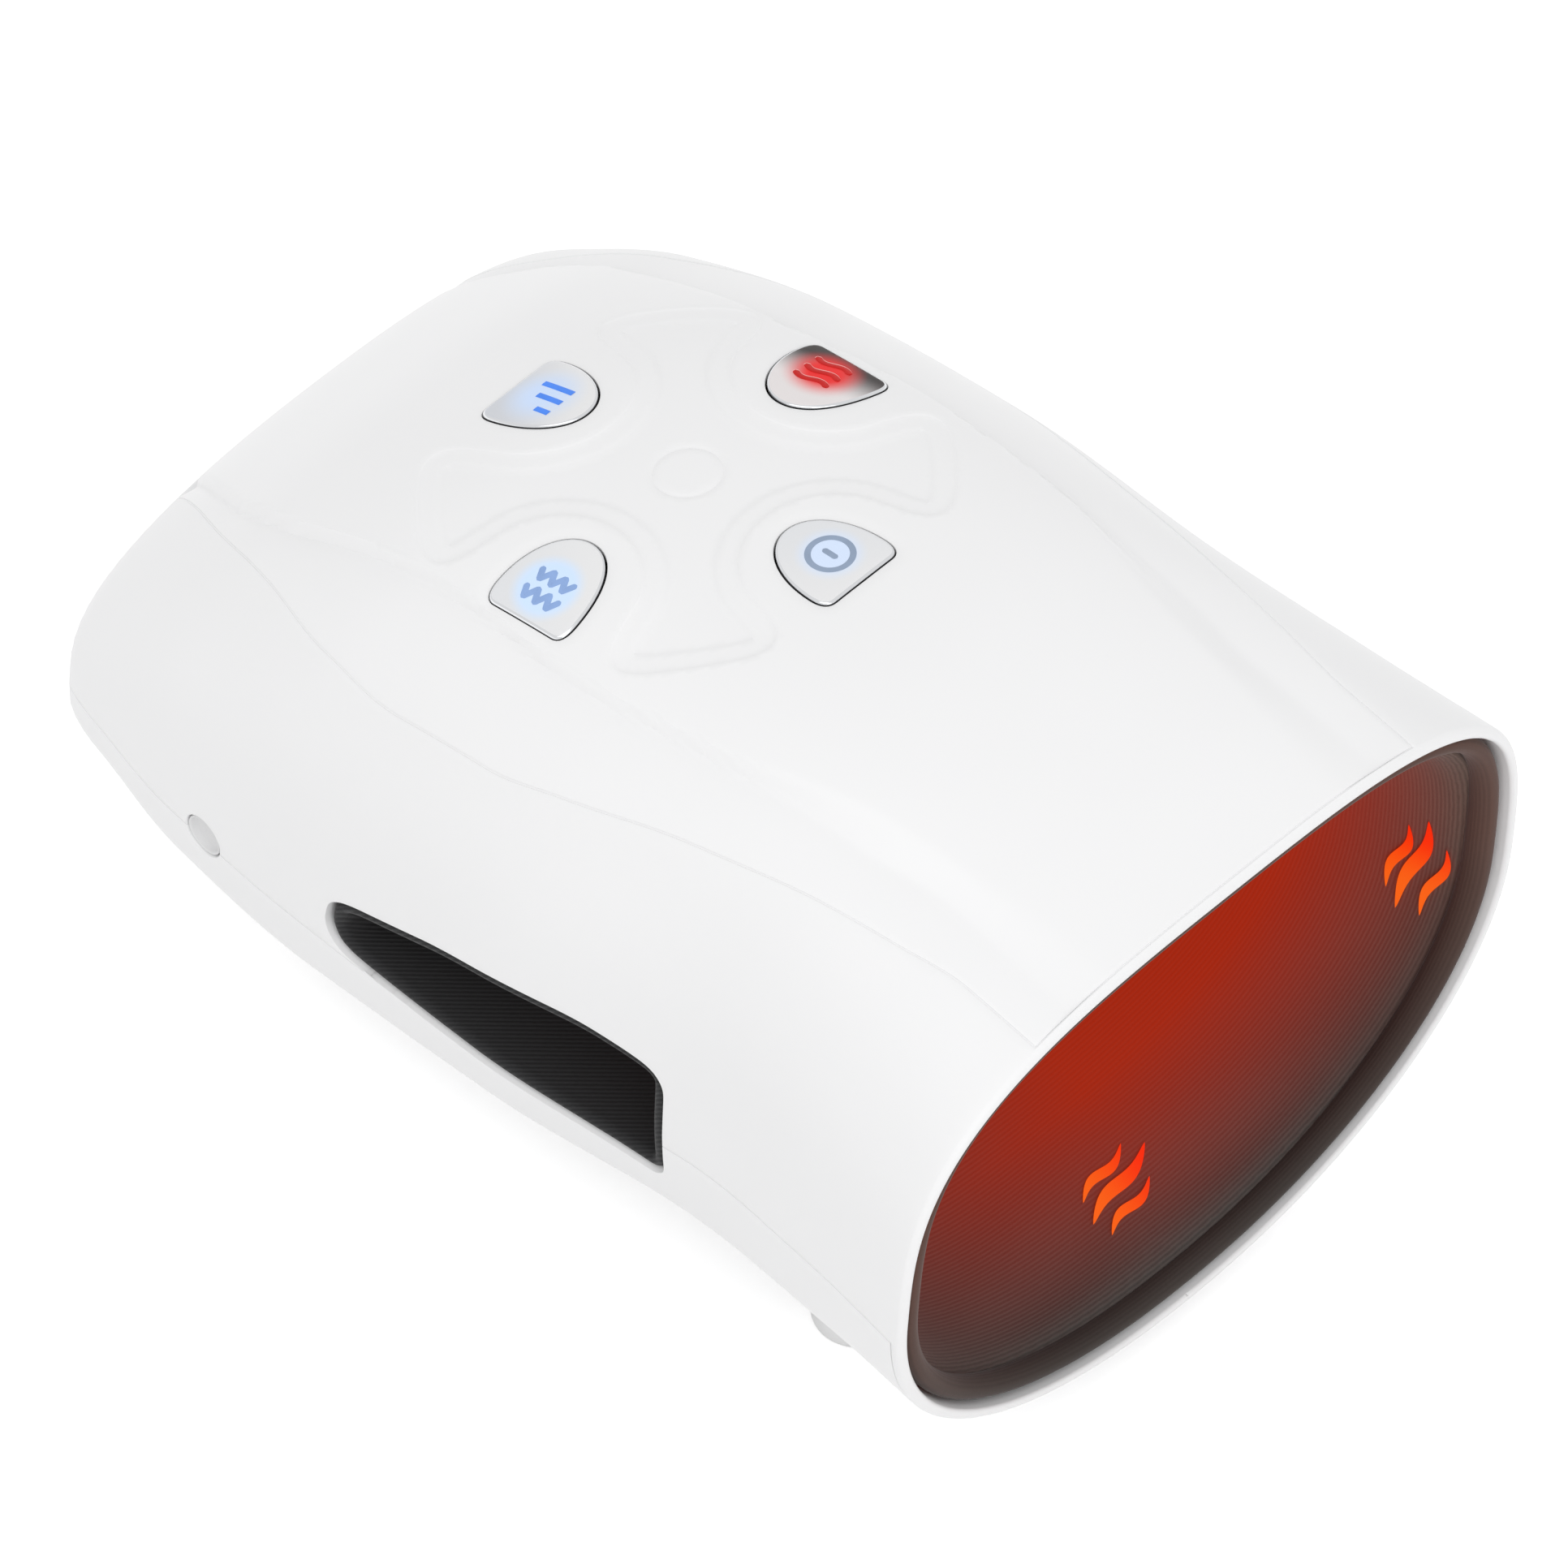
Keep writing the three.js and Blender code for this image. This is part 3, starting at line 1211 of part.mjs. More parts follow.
add('airbag_fingers_lower', cavityPad(fingerBagShares, airbagOutset(0), airbagOutset(1), false), bladder);
add('inner_arch', mainBody(innerArch()), frameGrey);
add('inner_tray', frameHalf(false), frameGrey);
add('control_board', controlBoard(), boardGreen);
for (const spot of buttonSpots) {
  add(`switch_${spot.name}`, tactSwitch(spot), darkPlastic);
  add(`lamp_${spot.name}`, lamp(spot), clear);
  add(`button_${spot.name}`, buttonCap(spot), silver);
  add(`light_guide_${spot.name}`, lightGuide(spot), clear);
}
add('pump_motor', pumpMotor(), steel);
add('pump_eccentric', pumpEccentric(), darkPlastic);
add('pump_head', pumpHead(), darkPlastic);
for (const [name, side] of [['left', -1], ['right', 1]]) {
  add(`air_valve_${name}`, airValve(side), darkPlastic);
  add(`valve_plunger_${name}`, valvePlunger(side), steel);
}
add('hose_right', rightHose(), clear);
add('hose_left', leftHose(), clear);
add('hose_fingers', fingerHose(), clear);
add('battery_cell_front', cell(-1), paint('#3a6ea5', 0.5));
add('battery_cell_rear', cell(1), paint('#3a6ea5', 0.5));
add('battery_holder', batteryHolder(), darkPlastic);
add('charge_socket', chargeSocket(), darkPlastic);
add('charge_board', chargeBoard(), boardGreen);
for (const [end, along] of [['front', footAlongs[0]], ['rear', footAlongs[1]]]) {
  add(`foot_${end}_left`, foot(-footAcross, along), rubber);
  add(`foot_${end}_right`, foot(footAcross, along), rubber);
}
postSpots().forEach((spot, i) => add(`case_screw_${i + 1}`, caseScrew(spot), steel));

export default group;
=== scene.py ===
"""Hand massager: the look of each piece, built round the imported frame. Lengths are in millimetres."""

import math

import bmesh
import bpy
import numpy as np
from mathutils import Matrix, Vector
from mathutils.geometry import delaunay_2d_cdt


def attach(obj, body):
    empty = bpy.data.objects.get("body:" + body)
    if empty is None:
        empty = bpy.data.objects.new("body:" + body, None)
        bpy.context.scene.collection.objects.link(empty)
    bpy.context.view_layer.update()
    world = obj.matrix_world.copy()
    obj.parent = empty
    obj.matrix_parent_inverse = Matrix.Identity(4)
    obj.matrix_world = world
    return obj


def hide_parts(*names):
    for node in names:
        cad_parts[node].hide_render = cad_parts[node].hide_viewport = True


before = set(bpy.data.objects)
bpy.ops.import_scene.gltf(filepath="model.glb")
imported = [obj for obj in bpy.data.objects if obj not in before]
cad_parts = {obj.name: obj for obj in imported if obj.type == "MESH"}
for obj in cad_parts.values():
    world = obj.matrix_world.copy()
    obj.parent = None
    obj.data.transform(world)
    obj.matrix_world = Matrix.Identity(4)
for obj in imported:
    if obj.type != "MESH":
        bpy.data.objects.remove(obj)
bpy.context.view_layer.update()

MM = 0.001
BODY_LENGTH, MOUTH_WIDTH, SHELL_HEIGHT, FOOT_HEIGHT = 222.0, 157.0, 127.7, 3.1
GAP = 0.22
MOUTH_Y = -BODY_LENGTH / 2
STATIONS = [
    (0, 1, 0.9405, 0.022), (0.117, 0.941, 0.972, 0.01), (0.293, 0.885, 1, 0), (0.4865, 0.922, 0.964, 0.002),
    (0.68, 0.918, 0.897, 0.008), (0.829, 0.892, 0.7745, 0.0525), (0.9145, 0.845, 0.66, 0.1),
    (0.973, 0.801, 0.557, 0.135), (0.991, 0.732, 0.495, 0.175), (1, 0.624, 0.43, 0.234),
]
SEAM = [
    (0, 47.5), (17, 47.5), (33, 49.5), (51, 51.9), (67, 54.5), (78.5, 56.3), (100, 60.2),
    (117, 62.1), (138, 62.1), (159, 59.2), (179, 52.6), (194, 47.3), (208, 40.5), (222, 33.5),
]
RIDGE_FOOT = [
    (0, 39), (32, 39), (46, 40.9), (63, 42.3), (91, 45.1), (116, 46.6), (132, 45),
    (151, 43.8), (183, 43.2), (197, 41), (206, 37.5), (222, 29.5),
]
RIDGE_CREST = [
    (0, 28.6), (18, 30), (31, 31.6), (49, 33.9), (63, 37.5), (80, 42), (116, 44.6),
    (151, 41.8), (183, 41.2), (197, 39), (206, 35.5), (222, 27.5),
]
RIDGE_DROP = [(0, 0.6), (18, 1.2), (49, 1.9), (80, 2.1), (183, 2.1), (206, 1.5), (222, 0.9)]
LOWER_SEAM = [(0, 63), (25, 59.6), (47, 56.3), (64, 52.3), (85, 45.5), (110, 41), (146, 40), (222, 40)]
CAVITY = [
    (4.2, 71, 115.6, 13.4), (12, 68.4, 113.1, 15.3), (28, 62.8, 105.5, 21.4), (46, 57.6, 96, 28.4),
    (65, 54.2, 88.5, 34.5), (92, 52.6, 83.7, 38.7), (145, 51.3, 77.7, 40),
    (175, 46.5, 70.5, 40.5), (188, 40, 64, 42.5), (193, 33, 58, 45.5),
]
CAVITY_POWERS = [(0, 3.1, 2.1), (65, 2.6, 2.6), (193, 2.6, 2.6)]
COVER_FRONT, COVER_BACK, COVER_THICKNESS = 1.5, 218.5, 2.2
PANEL_ALONG, PITCH = 129.8, 35.1
PORT_ALONG, PORT_HEIGHT, PORT_RADIUS = 174.7, 41.0, 4.15
THUMB = (65.0, 143.8, 40.0, 71.3, 5.0)
THUMB_EDGE = [(0.12, 1), (0.26, 0.985), (0.46, 0.88), (0.66, 0.755), (0.8, 0.625), (0.94, 0.5)]
THUMB_FAR = [(0.99, 0.4), (1, 0.2), (0.97, 0.06), (0.9, 0)]
CORNER_SHARES, BLOCK = (0.8, 0.2), 4000


# Curves and outlines

def smooth_curve(rows, column=1):
    place = np.array([row[0] for row in rows], float)
    value = np.array([row[column] for row in rows], float)
    step = np.diff(place)
    rise = np.diff(value) / step
    slope = np.zeros(len(place))
    slope[0], slope[-1] = rise[0], rise[-1]
    same = rise[:-1] * rise[1:] > 0
    before, after = rise[:-1][same], rise[1:][same]
    slope[1:-1][same] = 2 / (1 / before + 1 / after)

    def at(query):
        query = np.asarray(query, float)
        i = np.clip(np.searchsorted(place, query) - 1, 0, len(step) - 1)
        t = np.clip((query - place[i]) / step[i], 0, 1)
        rest = 1 - t
        return (value[i] * (1 + 2 * t) * rest * rest + slope[i] * step[i] * t * rest * rest
                + value[i + 1] * t * t * (3 - 2 * t) - slope[i + 1] * step[i] * t * t * rest)

    return at


seam_half, foot_half, crest_half = smooth_curve(SEAM), smooth_curve(RIDGE_FOOT), smooth_curve(RIDGE_CREST)
ridge_drop, lower_seam = smooth_curve(RIDGE_DROP), smooth_curve(LOWER_SEAM)


def smooth_step(value):
    value = np.clip(value, 0, 1)
    return value * value * (3 - 2 * value)


def rounded(points, times):
    """Closed outline with its corners cut again and again."""
    points = np.asarray(points, float)
    near, far = CORNER_SHARES
    for _ in range(times):
        after = np.roll(points, -1, axis=0)
        points = np.stack([near * points + far * after, far * points + near * after], axis=1).reshape(-1, 2)
    return points


def paired(first, second):
    """Two columns as one table."""
    return np.stack(np.broadcast_arrays(first, second), axis=1)


def full_turn(count):
    return np.linspace(0, 2 * math.pi, count, endpoint=False)


def side_view(points):
    """Place along and height of points, as seen from the side."""
    return paired(points[:, 1] - MOUTH_Y, points[:, 2])


def resampled(points, spacing, closed=True):
    points = np.asarray(points, float)
    if closed:
        points = np.vstack([points, points[:1]])
    run = np.concatenate([[0], np.cumsum(np.linalg.norm(np.diff(points, axis=0), axis=1))])
    count = max(3, int(round(run[-1] / spacing)))
    places = np.linspace(0, run[-1], count + 1)
    if closed:
        places = places[:-1]
    return np.stack([np.interp(places, run, points[:, k]) for k in range(points.shape[1])], axis=1)


def grown(points, distance, closed=True):
    """Outline moved along its own normals; a closed one grows when the distance is positive."""
    points = np.asarray(points, float)
    if closed:
        before, after = np.roll(points, 1, axis=0), np.roll(points, -1, axis=0)
        area = np.sum(points[:, 0] * after[:, 1] - after[:, 0] * points[:, 1])
    else:
        before = np.vstack([points[:1], points[:-1]])
        after = np.vstack([points[1:], points[-1:]])
        area = 1
    along = after - before
    normal = paired(along[:, 1], -along[:, 0])
    normal /= np.maximum(np.linalg.norm(normal, axis=1, keepdims=True), 1e-9)
    return points + normal * distance * (1 if area > 0 else -1)


def in_outline(points, outline):
    x, y = points[:, 0], points[:, 1]
    low, high = outline.min(axis=0) - 1, outline.max(axis=0) + 1
    near = (x > low[0]) & (x < high[0]) & (y > low[1]) & (y < high[1])
    px, py = x[near], y[near]
    hit = np.zeros(len(px), bool)
    for (ax, ay), (bx, by) in zip(outline, np.roll(outline, -1, axis=0)):
        if ay != by:
            hit ^= ((ay > py) != (by > py)) & (px < (bx - ax) * (py - ay) / (by - ay) + ax)
    inside = np.zeros(len(points), bool)
    inside[near] = hit
    return inside


def distance_to(points, starts, ends):
    """Distance of each point to the nearest of many segments."""
    best = np.full(len(points), 1e9)
    across = ends - starts
    length = np.maximum((across ** 2).sum(axis=1), 1e-12)
    for first in range(0, len(points), BLOCK):
        part = points[first:first + BLOCK]
        offset = part[:, None, :] - starts[None]
        t = np.clip((offset * across[None]).sum(axis=2) / length[None], 0, 1)
        gap = offset - t[..., None] * across[None]
        best[first:first + BLOCK] = np.sqrt((gap ** 2).sum(axis=2)).min(axis=1)
    return best


def to_outline(points, outline):
    return distance_to(points, outline, np.roll(outline, -1, axis=0))


# Surfaces as tables over a place along and an arc length from the top centre

class Skin:
    """Rows of half sections. u is the place along or the arc at an end, v the arc from the top centre."""

    columns, samples = 361, 3001

    def __init__(self, rows):
        self.u = np.array([row[0] for row in rows])
        angles = np.linspace(math.pi / 2, -math.pi / 2, self.samples)
        self.share = np.linspace(0, 1, self.columns)
        self.points = np.zeros((len(rows), self.columns, 3))
        self.length = np.zeros(len(rows))
        for i, (_, y, section, outset, scale, centre) in enumerate(rows):
            half_width, top, bottom, middle, top_power, bottom_power = section
            across, up = np.cos(angles), np.sin(angles)
            power = np.where(up >= 0, top_power, bottom_power)
            reach = np.where(up >= 0, top - middle, middle - bottom)
            x = half_width * np.abs(across) ** (2 / power)
            z = middle + reach * np.sign(up) * np.abs(up) ** (2 / power)
            if outset:
                dx, dz = np.gradient(x), np.gradient(z)
                size = np.maximum(np.hypot(dx, dz), 1e-9)
                x, z = x - outset * dz / size, z + outset * dx / size
                x = np.maximum(x, 0)
            x, z = x * scale, centre + (z - centre) * scale
            run = np.concatenate([[0], np.cumsum(np.hypot(np.diff(x), np.diff(z)))])
            self.length[i] = run[-1]
            places = self.share * run[-1]
            self.points[i, :, 0] = np.interp(places, run, x)
            self.points[i, :, 2] = np.interp(places, run, z)
            self.points[i, :, 1] = y
        self.points[:, 0, 0] = 0
        self.points[:, -1, 0] = 0
        down = np.gradient(self.points, axis=0)
        side = np.gradient(self.points, axis=1)
        side[:, 0] = (1, 0, 0)
        side[:, -1] = (-1, 0, 0)
        normal = np.cross(side, down)
        size = np.linalg.norm(normal, axis=2, keepdims=True)
        self.normals = np.where(size > 1e-9, normal / np.maximum(size, 1e-9), (0, 1, 0))
        if self.normals[len(rows) // 2, 0, 2] < 0:
            self.normals *= -1

    def row(self, u):
        i = int(np.clip(np.searchsorted(self.u, u) - 1, 0, len(self.u) - 2))
        t = (u - self.u[i]) / (self.u[i + 1] - self.u[i])
        return (1 - t) * self.points[i] + t * self.points[i + 1]

    def half_arc(self, u):
        return np.interp(u, self.u, self.length)

    def at(self, u, v):
        """Points and normals; v beyond the half arc comes back on the other side."""
        u, v = np.asarray(u, float), np.asarray(v, float)
        length = np.maximum(self.half_arc(u), 1e-6)
        share = np.clip(np.abs(v) / length, 0, 1) * (self.columns - 1)
        i = np.clip(np.searchsorted(self.u, u) - 1, 0, len(self.u) - 2)
        t = np.clip((u - self.u[i]) / (self.u[i + 1] - self.u[i]), 0, 1)[:, None]
        j = np.clip(share.astype(int), 0, self.columns - 2)
        w = (share - j)[:, None]
        result = []
        for table in (self.points, self.normals):
            value = ((1 - t) * (1 - w) * table[i, j] + (1 - t) * w * table[i, j + 1]
                     + t * (1 - w) * table[i + 1, j] + t * w * table[i + 1, j + 1])
            value[:, 0] *= np.sign(v) + (v == 0)
            result.append(value)
        points, normals = result
        normals /= np.maximum(np.linalg.norm(normals, axis=1, keepdims=True), 1e-9)
        return points, normals

    def v_of_x(self, u, x):
        row = self.row(u)
        widest = int(np.argmax(row[:, 0])) + 1
        share = float(np.interp(abs(x), row[:widest, 0], self.share[:widest]))
        return math.copysign(share * self.half_arc(u), x)

    def v_of_z(self, u, z, side):
        row = self.row(u)
        return side * float(np.interp(-z, -row[:, 2], self.share)) * self.half_arc(u)


width_share, top_share, bottom_share = (smooth_curve(STATIONS, k) for k in (1, 2, 3))


WIDEST, TOP_POWERS, BOTTOM_POWERS = (0.532, 0.441), (3.12, 2.4), (2.11, 4.08)


def between(ends, share):
    return ends[0] + (ends[1] - ends[0]) * share


def body_section(along):
    share = min(max(along / BODY_LENGTH, 0), 1)
    top = FOOT_HEIGHT + SHELL_HEIGHT * float(top_share(share))
    bottom = FOOT_HEIGHT + SHELL_HEIGHT * float(bottom_share(share))
    return (MOUTH_WIDTH / 2 * float(width_share(share)), top, bottom,
            bottom + (top - bottom) * between(WIDEST, share),
            between(TOP_POWERS, share), between(BOTTOM_POWERS, share))


LIP_OUTER, LIP_INNER, LIP_DEPTH, LIP_INWARDS = 1.6, 0.8, 2.4, (7.2, 5, 3.5, 2.2)
NOSE_CROWN, NOSE_U, NOSE_POLE, POLE_SCALE = 0.8, 25.0, 40.0, 1e-4
CROWN_START, FINE_START, ROW_STEP = 190, 216, 0.8
INNER_STEPS, OUTER_STEPS, FINE_ROWS, NOSE_STEPS = 6, 10, 25, 24


def body_rows():
    rows = []
    quarter = math.pi / 2
    outer_arc, inner_arc = LIP_OUTER * quarter, LIP_INNER * quarter
    for deep in LIP_INWARDS:
        rows.append((LIP_OUTER - outer_arc - inner_arc - deep, deep + LIP_INNER, -LIP_OUTER - LIP_INNER))
    for step in range(INNER_STEPS + 1):
        angle = quarter * step / INNER_STEPS
        rows.append((LIP_OUTER - outer_arc - inner_arc * (1 - step / INNER_STEPS),
                     LIP_INNER * (1 - math.sin(angle)), -LIP_OUTER - LIP_INNER * math.cos(angle)))
    for step in range(1, OUTER_STEPS + 1):
        angle = quarter * step / OUTER_STEPS
        rows.append((LIP_OUTER - outer_arc * (1 - step / OUTER_STEPS),
                     LIP_OUTER * (1 - math.cos(angle)), -LIP_OUTER + LIP_OUTER * math.sin(angle)))
    rows = [(u, MOUTH_Y + along, body_section(along), outset, 1, 0) for u, along, outset in rows]
    fine = np.linspace(FINE_START, BODY_LENGTH, FINE_ROWS)
    for along in list(np.arange(LIP_DEPTH, FINE_START, ROW_STEP)) + list(fine):
        crowned = float(smooth_step((along - CROWN_START) / (BODY_LENGTH - CROWN_START)))
        rows.append((along, MOUTH_Y + along - NOSE_CROWN * crowned, body_section(along), 0, 1, 0))
    last = body_section(BODY_LENGTH)
    for step in range(1, NOSE_STEPS + 1):
        scale = 1 - step / NOSE_STEPS
        y = MOUTH_Y + BODY_LENGTH - NOSE_CROWN * scale * scale
        rows.append((BODY_LENGTH + NOSE_U * (1 - scale), y, last, 0, max(scale, POLE_SCALE), NOSE_POLE))
    return rows


body = Skin(body_rows())
LIP_U = float(body.u[0])
END_U = BODY_LENGTH + NOSE_U


def thumb_outline(grow=0):
    front, back, bottom, top, corner = THUMB
    points = []
    for z, angle in ((bottom + corner, -90), (top - corner, 180)):
        for step in range(4):
            turn = math.radians(angle - 30 * step)
            points.append((front + corner + corner * math.cos(turn), z + corner * math.sin(turn)))
    points += [(front + (back - front) * a, bottom + (top - bottom) * b) for a, b in THUMB_EDGE + THUMB_FAR]
    return grown(resampled(rounded(points, 3), 1.0), grow)


# Panel with the buttons

def skin_height(x, along):
    heights = []
    for a, b in zip(np.atleast_1d(x), np.atleast_1d(along).astype(float)):
        upper = body.row(b)[:Skin.columns // 2]
        heights.append(np.interp(abs(a), upper[:, 0], upper[:, 2]))
    return np.array(heights)


near_z, far_z = skin_height([0, 0], [PANEL_ALONG - PITCH, PANEL_ALONG + PITCH])
TILT = math.atan2(near_z - far_z, 2 * PITCH)
PANEL_ORIGIN = np.array([0, MOUTH_Y + PANEL_ALONG, (near_z + far_z) / 2])
PANEL_Y = np.array([0, math.cos(TILT), -math.sin(TILT)])
PANEL_UP = np.array([0, math.sin(TILT), math.cos(TILT)])
SLOPED = PITCH / math.cos(TILT)
BUTTONS = {
    "intensity": (0, SLOPED, 0), "mode": (-PITCH, 0, 90), "power": (0, -SLOPED, 180), "heat": (PITCH, 0, -90),
}


def on_panel(points, lift=0):
    points = np.asarray(points, float)
    lift = np.asarray(lift, float) * np.ones(len(points))
    return (PANEL_ORIGIN + points[:, :1] * np.array([1, 0, 0]) + points[:, 1:2] * PANEL_Y
            + lift[:, None] * PANEL_UP)


def skin_lift(points):
    """Height of the skin over the panel plane at panel points."""
    lift = np.zeros(len(points))
    for _ in range(4):
        place = on_panel(points, lift)
        lift += (skin_height(place[:, 0], place[:, 1] - MOUTH_Y) - place[:, 2]) * math.cos(TILT)
    return lift


def plan_of_panel(points):
    place = on_panel(points, skin_lift(points))
    return paired(place[:, 0], place[:, 1] - MOUTH_Y)


# Count of points, then shares of a button's half width and of its height above or below its middle
BUTTON_HALF, BUTTON_OUT, BUTTON_DEEP = 9.7, 6.9, 12.0
BUTTON_CURVES = [
    (14, (-0.72, 1), (-0.24, 1), (0.24, 1), (0.72, 1)),
    (14, (0.72, 1), (0.91, 1), (1, 0.81), (1, 0.43)),
    (30, (1, 0.43), (1, -0.46), (0.58, -1), (0, -1)),
    (30, (0, -1), (-0.58, -1), (-1, -0.46), (-1, 0.43)),
    (14, (-1, 0.43), (-1, 0.81), (-0.91, 1), (-0.72, 1)),
]


def bezier(count, *shares):
    t = np.linspace(0, 1, count, endpoint=False)[:, None]
    a, b, c, d = (np.array((x * BUTTON_HALF, y * (BUTTON_OUT if y > 0 else BUTTON_DEEP))) for x, y in shares)
    return a * (1 - t) ** 3 + 3 * b * t * (1 - t) ** 2 + 3 * c * t * t * (1 - t) + d * t ** 3


def button_outline(name, grow=0, spacing=0.6):
    x0, y0, turn = BUTTONS[name]
    outline = np.vstack([bezier(*curve) for curve in BUTTON_CURVES])
    points = grown(resampled(outline, spacing), grow)
    c, s = math.cos(math.radians(turn)), math.sin(math.radians(turn))
    return points @ np.array([[c, s], [-s, c]]) + np.array([x0, y0])


LOBE_END = [
    (38.5, -13.9), (42, -14.6), (44.8, -13.2), (46.5, -9), (47, 0),
    (46.5, 9), (44.8, 13.2), (42, 14.6), (38.5, 13.9),
]


LOBE_RADIUS, LOBE_SWEEP, LOBE_STEPS = 16.5, math.radians(66), 19


def relief_outline():
    points = []
    for quarter in range(4):
        angle = math.pi / 2 * quarter
        c, s = math.cos(angle), math.sin(angle)
        local = []
        for step in range(LOBE_STEPS + 1):
            a = LOBE_SWEEP - 2 * LOBE_SWEEP * step / LOBE_STEPS
            local.append((LOBE_RADIUS * math.sin(a), PITCH - LOBE_RADIUS * math.cos(a)))
        for reach, across in LOBE_END:
            local.append(((-reach - across) * math.sqrt(0.5), (reach - across) * math.sqrt(0.5)))
        points += [(c * x - s * y, s * x + c * y) for x, y in local]
    return resampled(rounded(points, 3), 0.8)


RELIEF = relief_outline()
RELIEF_BORDER, RELIEF_STEP, RELIEF_DEPTHS = 4.5, 0.45, (0.26, 0.32, 0.22)
RING_RADIUS, RING_HALF, RING_DEPTH = 6.3, 0.75, 0.3
RIDGE_SHARES, WELL_DISH, WELL_REACH = (0.35, 0.65), 0.35, 2.0
WELLS = {name: plan_of_panel(button_outline(name)) for name in BUTTONS}


def cover_depth(points):
    """Depth of the cover's face under the body skin at plan points (x, along)."""
    x, along = np.abs(points[:, 0]), points[:, 1]
    crest, foot, seam = crest_half(along), foot_half(along), seam_half(along)
    rising = np.clip((x - crest) / (foot - crest), 0, 1)
    falling = np.clip((seam - x) / (seam - foot), 0, 1)
    slope = RIDGE_SHARES[0] * rising + RIDGE_SHARES[1] * smooth_step(rising)
    depth = ridge_drop(along) * np.where(x < foot, slope, falling)
    local = paired(points[:, 0], along - PANEL_ALONG)
    distance = to_outline(local, RELIEF)
    inside = in_outline(local, RELIEF)
    ramp = np.clip(distance / RELIEF_BORDER, 0, 1)
    outer_step = smooth_step(distance / RELIEF_STEP)
    inner_step = smooth_step((distance - RELIEF_BORDER + RELIEF_STEP) / RELIEF_STEP)
    outer, slow, inner = RELIEF_DEPTHS
    depth += np.where(inside, outer * outer_step + slow * ramp + inner * inner_step, 0)
    radius = np.hypot(points[:, 0], (along - PANEL_ALONG) / math.cos(TILT))
    depth += RING_DEPTH * (1 - smooth_step(np.abs(radius - RING_RADIUS) / RING_HALF))
    for outline in WELLS.values():
        depth += WELL_DISH * (1 - smooth_step(to_outline(points, outline) / WELL_REACH))
    return depth


def relief_lines():
    """Creases of the relief's border and of the ring in its middle, as (u, v) loops."""
    plans = [grown(RELIEF, -inset) for inset in
             (0, RELIEF_STEP / 2, RELIEF_STEP, RELIEF_BORDER - RELIEF_STEP, RELIEF_BORDER)]
    turns = full_turn(56)
    for share in (-1, -0.5, 0, 0.5, 1):
        reach = RING_RADIUS + RING_HALF * share
        plans.append(paired(reach * np.cos(turns), reach * np.sin(turns) * math.cos(TILT)))
    return [np.array([(PANEL_ALONG + a, body.v_of_x(PANEL_ALONG + a, x)) for x, a in plan]) for plan in plans]


# Patches: constrained triangulations of a region of the (u, v) plane

def triangulated(curves, inside, low, high, spacing, offsets=(), lines=()):
    """Places, triangles and border edges between curves (points, closed) and along closed creases."""
    coords, edges, segments = [], [], []

    def put(points, closed):
        first = len(coords)
        coords.extend(map(tuple, points))
        count = len(points)
        edges.extend((first + k, first + (k + 1) % count) for k in range(count if closed else count - 1))

    for points, closed in curves:
        put(points, closed)
        after = np.roll(points, -1, axis=0)
        segments.append((points, after) if closed else (points[:-1], after[:-1]))
        for offset in offsets:
            put(grown(points, offset, closed), closed)
            put(grown(points, -offset, closed), closed)
    for points in lines:
        put(points, True)
        segments.append((points, np.roll(points, -1, axis=0)))
    starts = np.vstack([s[0] for s in segments])
    ends = np.vstack([s[1] for s in segments])
    rise = spacing * math.sqrt(3) / 2
    grid = []
    for k, y in enumerate(np.arange(low[1], high[1], rise)):
        grid.append(paired(np.arange(low[0] + (spacing / 2 if k % 2 else 0), high[0], spacing), y))
    grid = np.vstack(grid)
    grid = grid[inside(grid)]
    grid = grid[distance_to(grid, starts, ends) > spacing / 2]
    coords.extend(map(tuple, grid))
    result = delaunay_2d_cdt([Vector(p) for p in coords], edges, [], 0, 1e-4)
    places = np.array([tuple(p) for p in result[0]])
    triangles = np.array(result[2])
    keep = inside(places[triangles].mean(axis=1))
    triangles = triangles[keep]
    used = np.unique(triangles)
    index = np.full(len(places), -1)
    index[used] = np.arange(len(used))
    places, triangles = places[used], index[triangles]
    a, b, c = (places[triangles[:, k]] for k in range(3))
    flip = (b[:, 0] - a[:, 0]) * (c[:, 1] - a[:, 1]) < (b[:, 1] - a[:, 1]) * (c[:, 0] - a[:, 0])
    triangles[flip] = triangles[flip][:, ::-1]
    pairs = np.vstack([triangles[:, [0, 1]], triangles[:, [1, 2]], triangles[:, [2, 0]]])
    key = np.sort(pairs, axis=1)
    _, first, counts = np.unique(key, axis=0, return_index=True, return_counts=True)
    return places, triangles, pairs[first[counts == 1]]


BEVEL_STEPS, INNER_SPACING, INNER_SINK, LEAST_WALL = (0.35, 1), 6.0, 1.2, 0.1


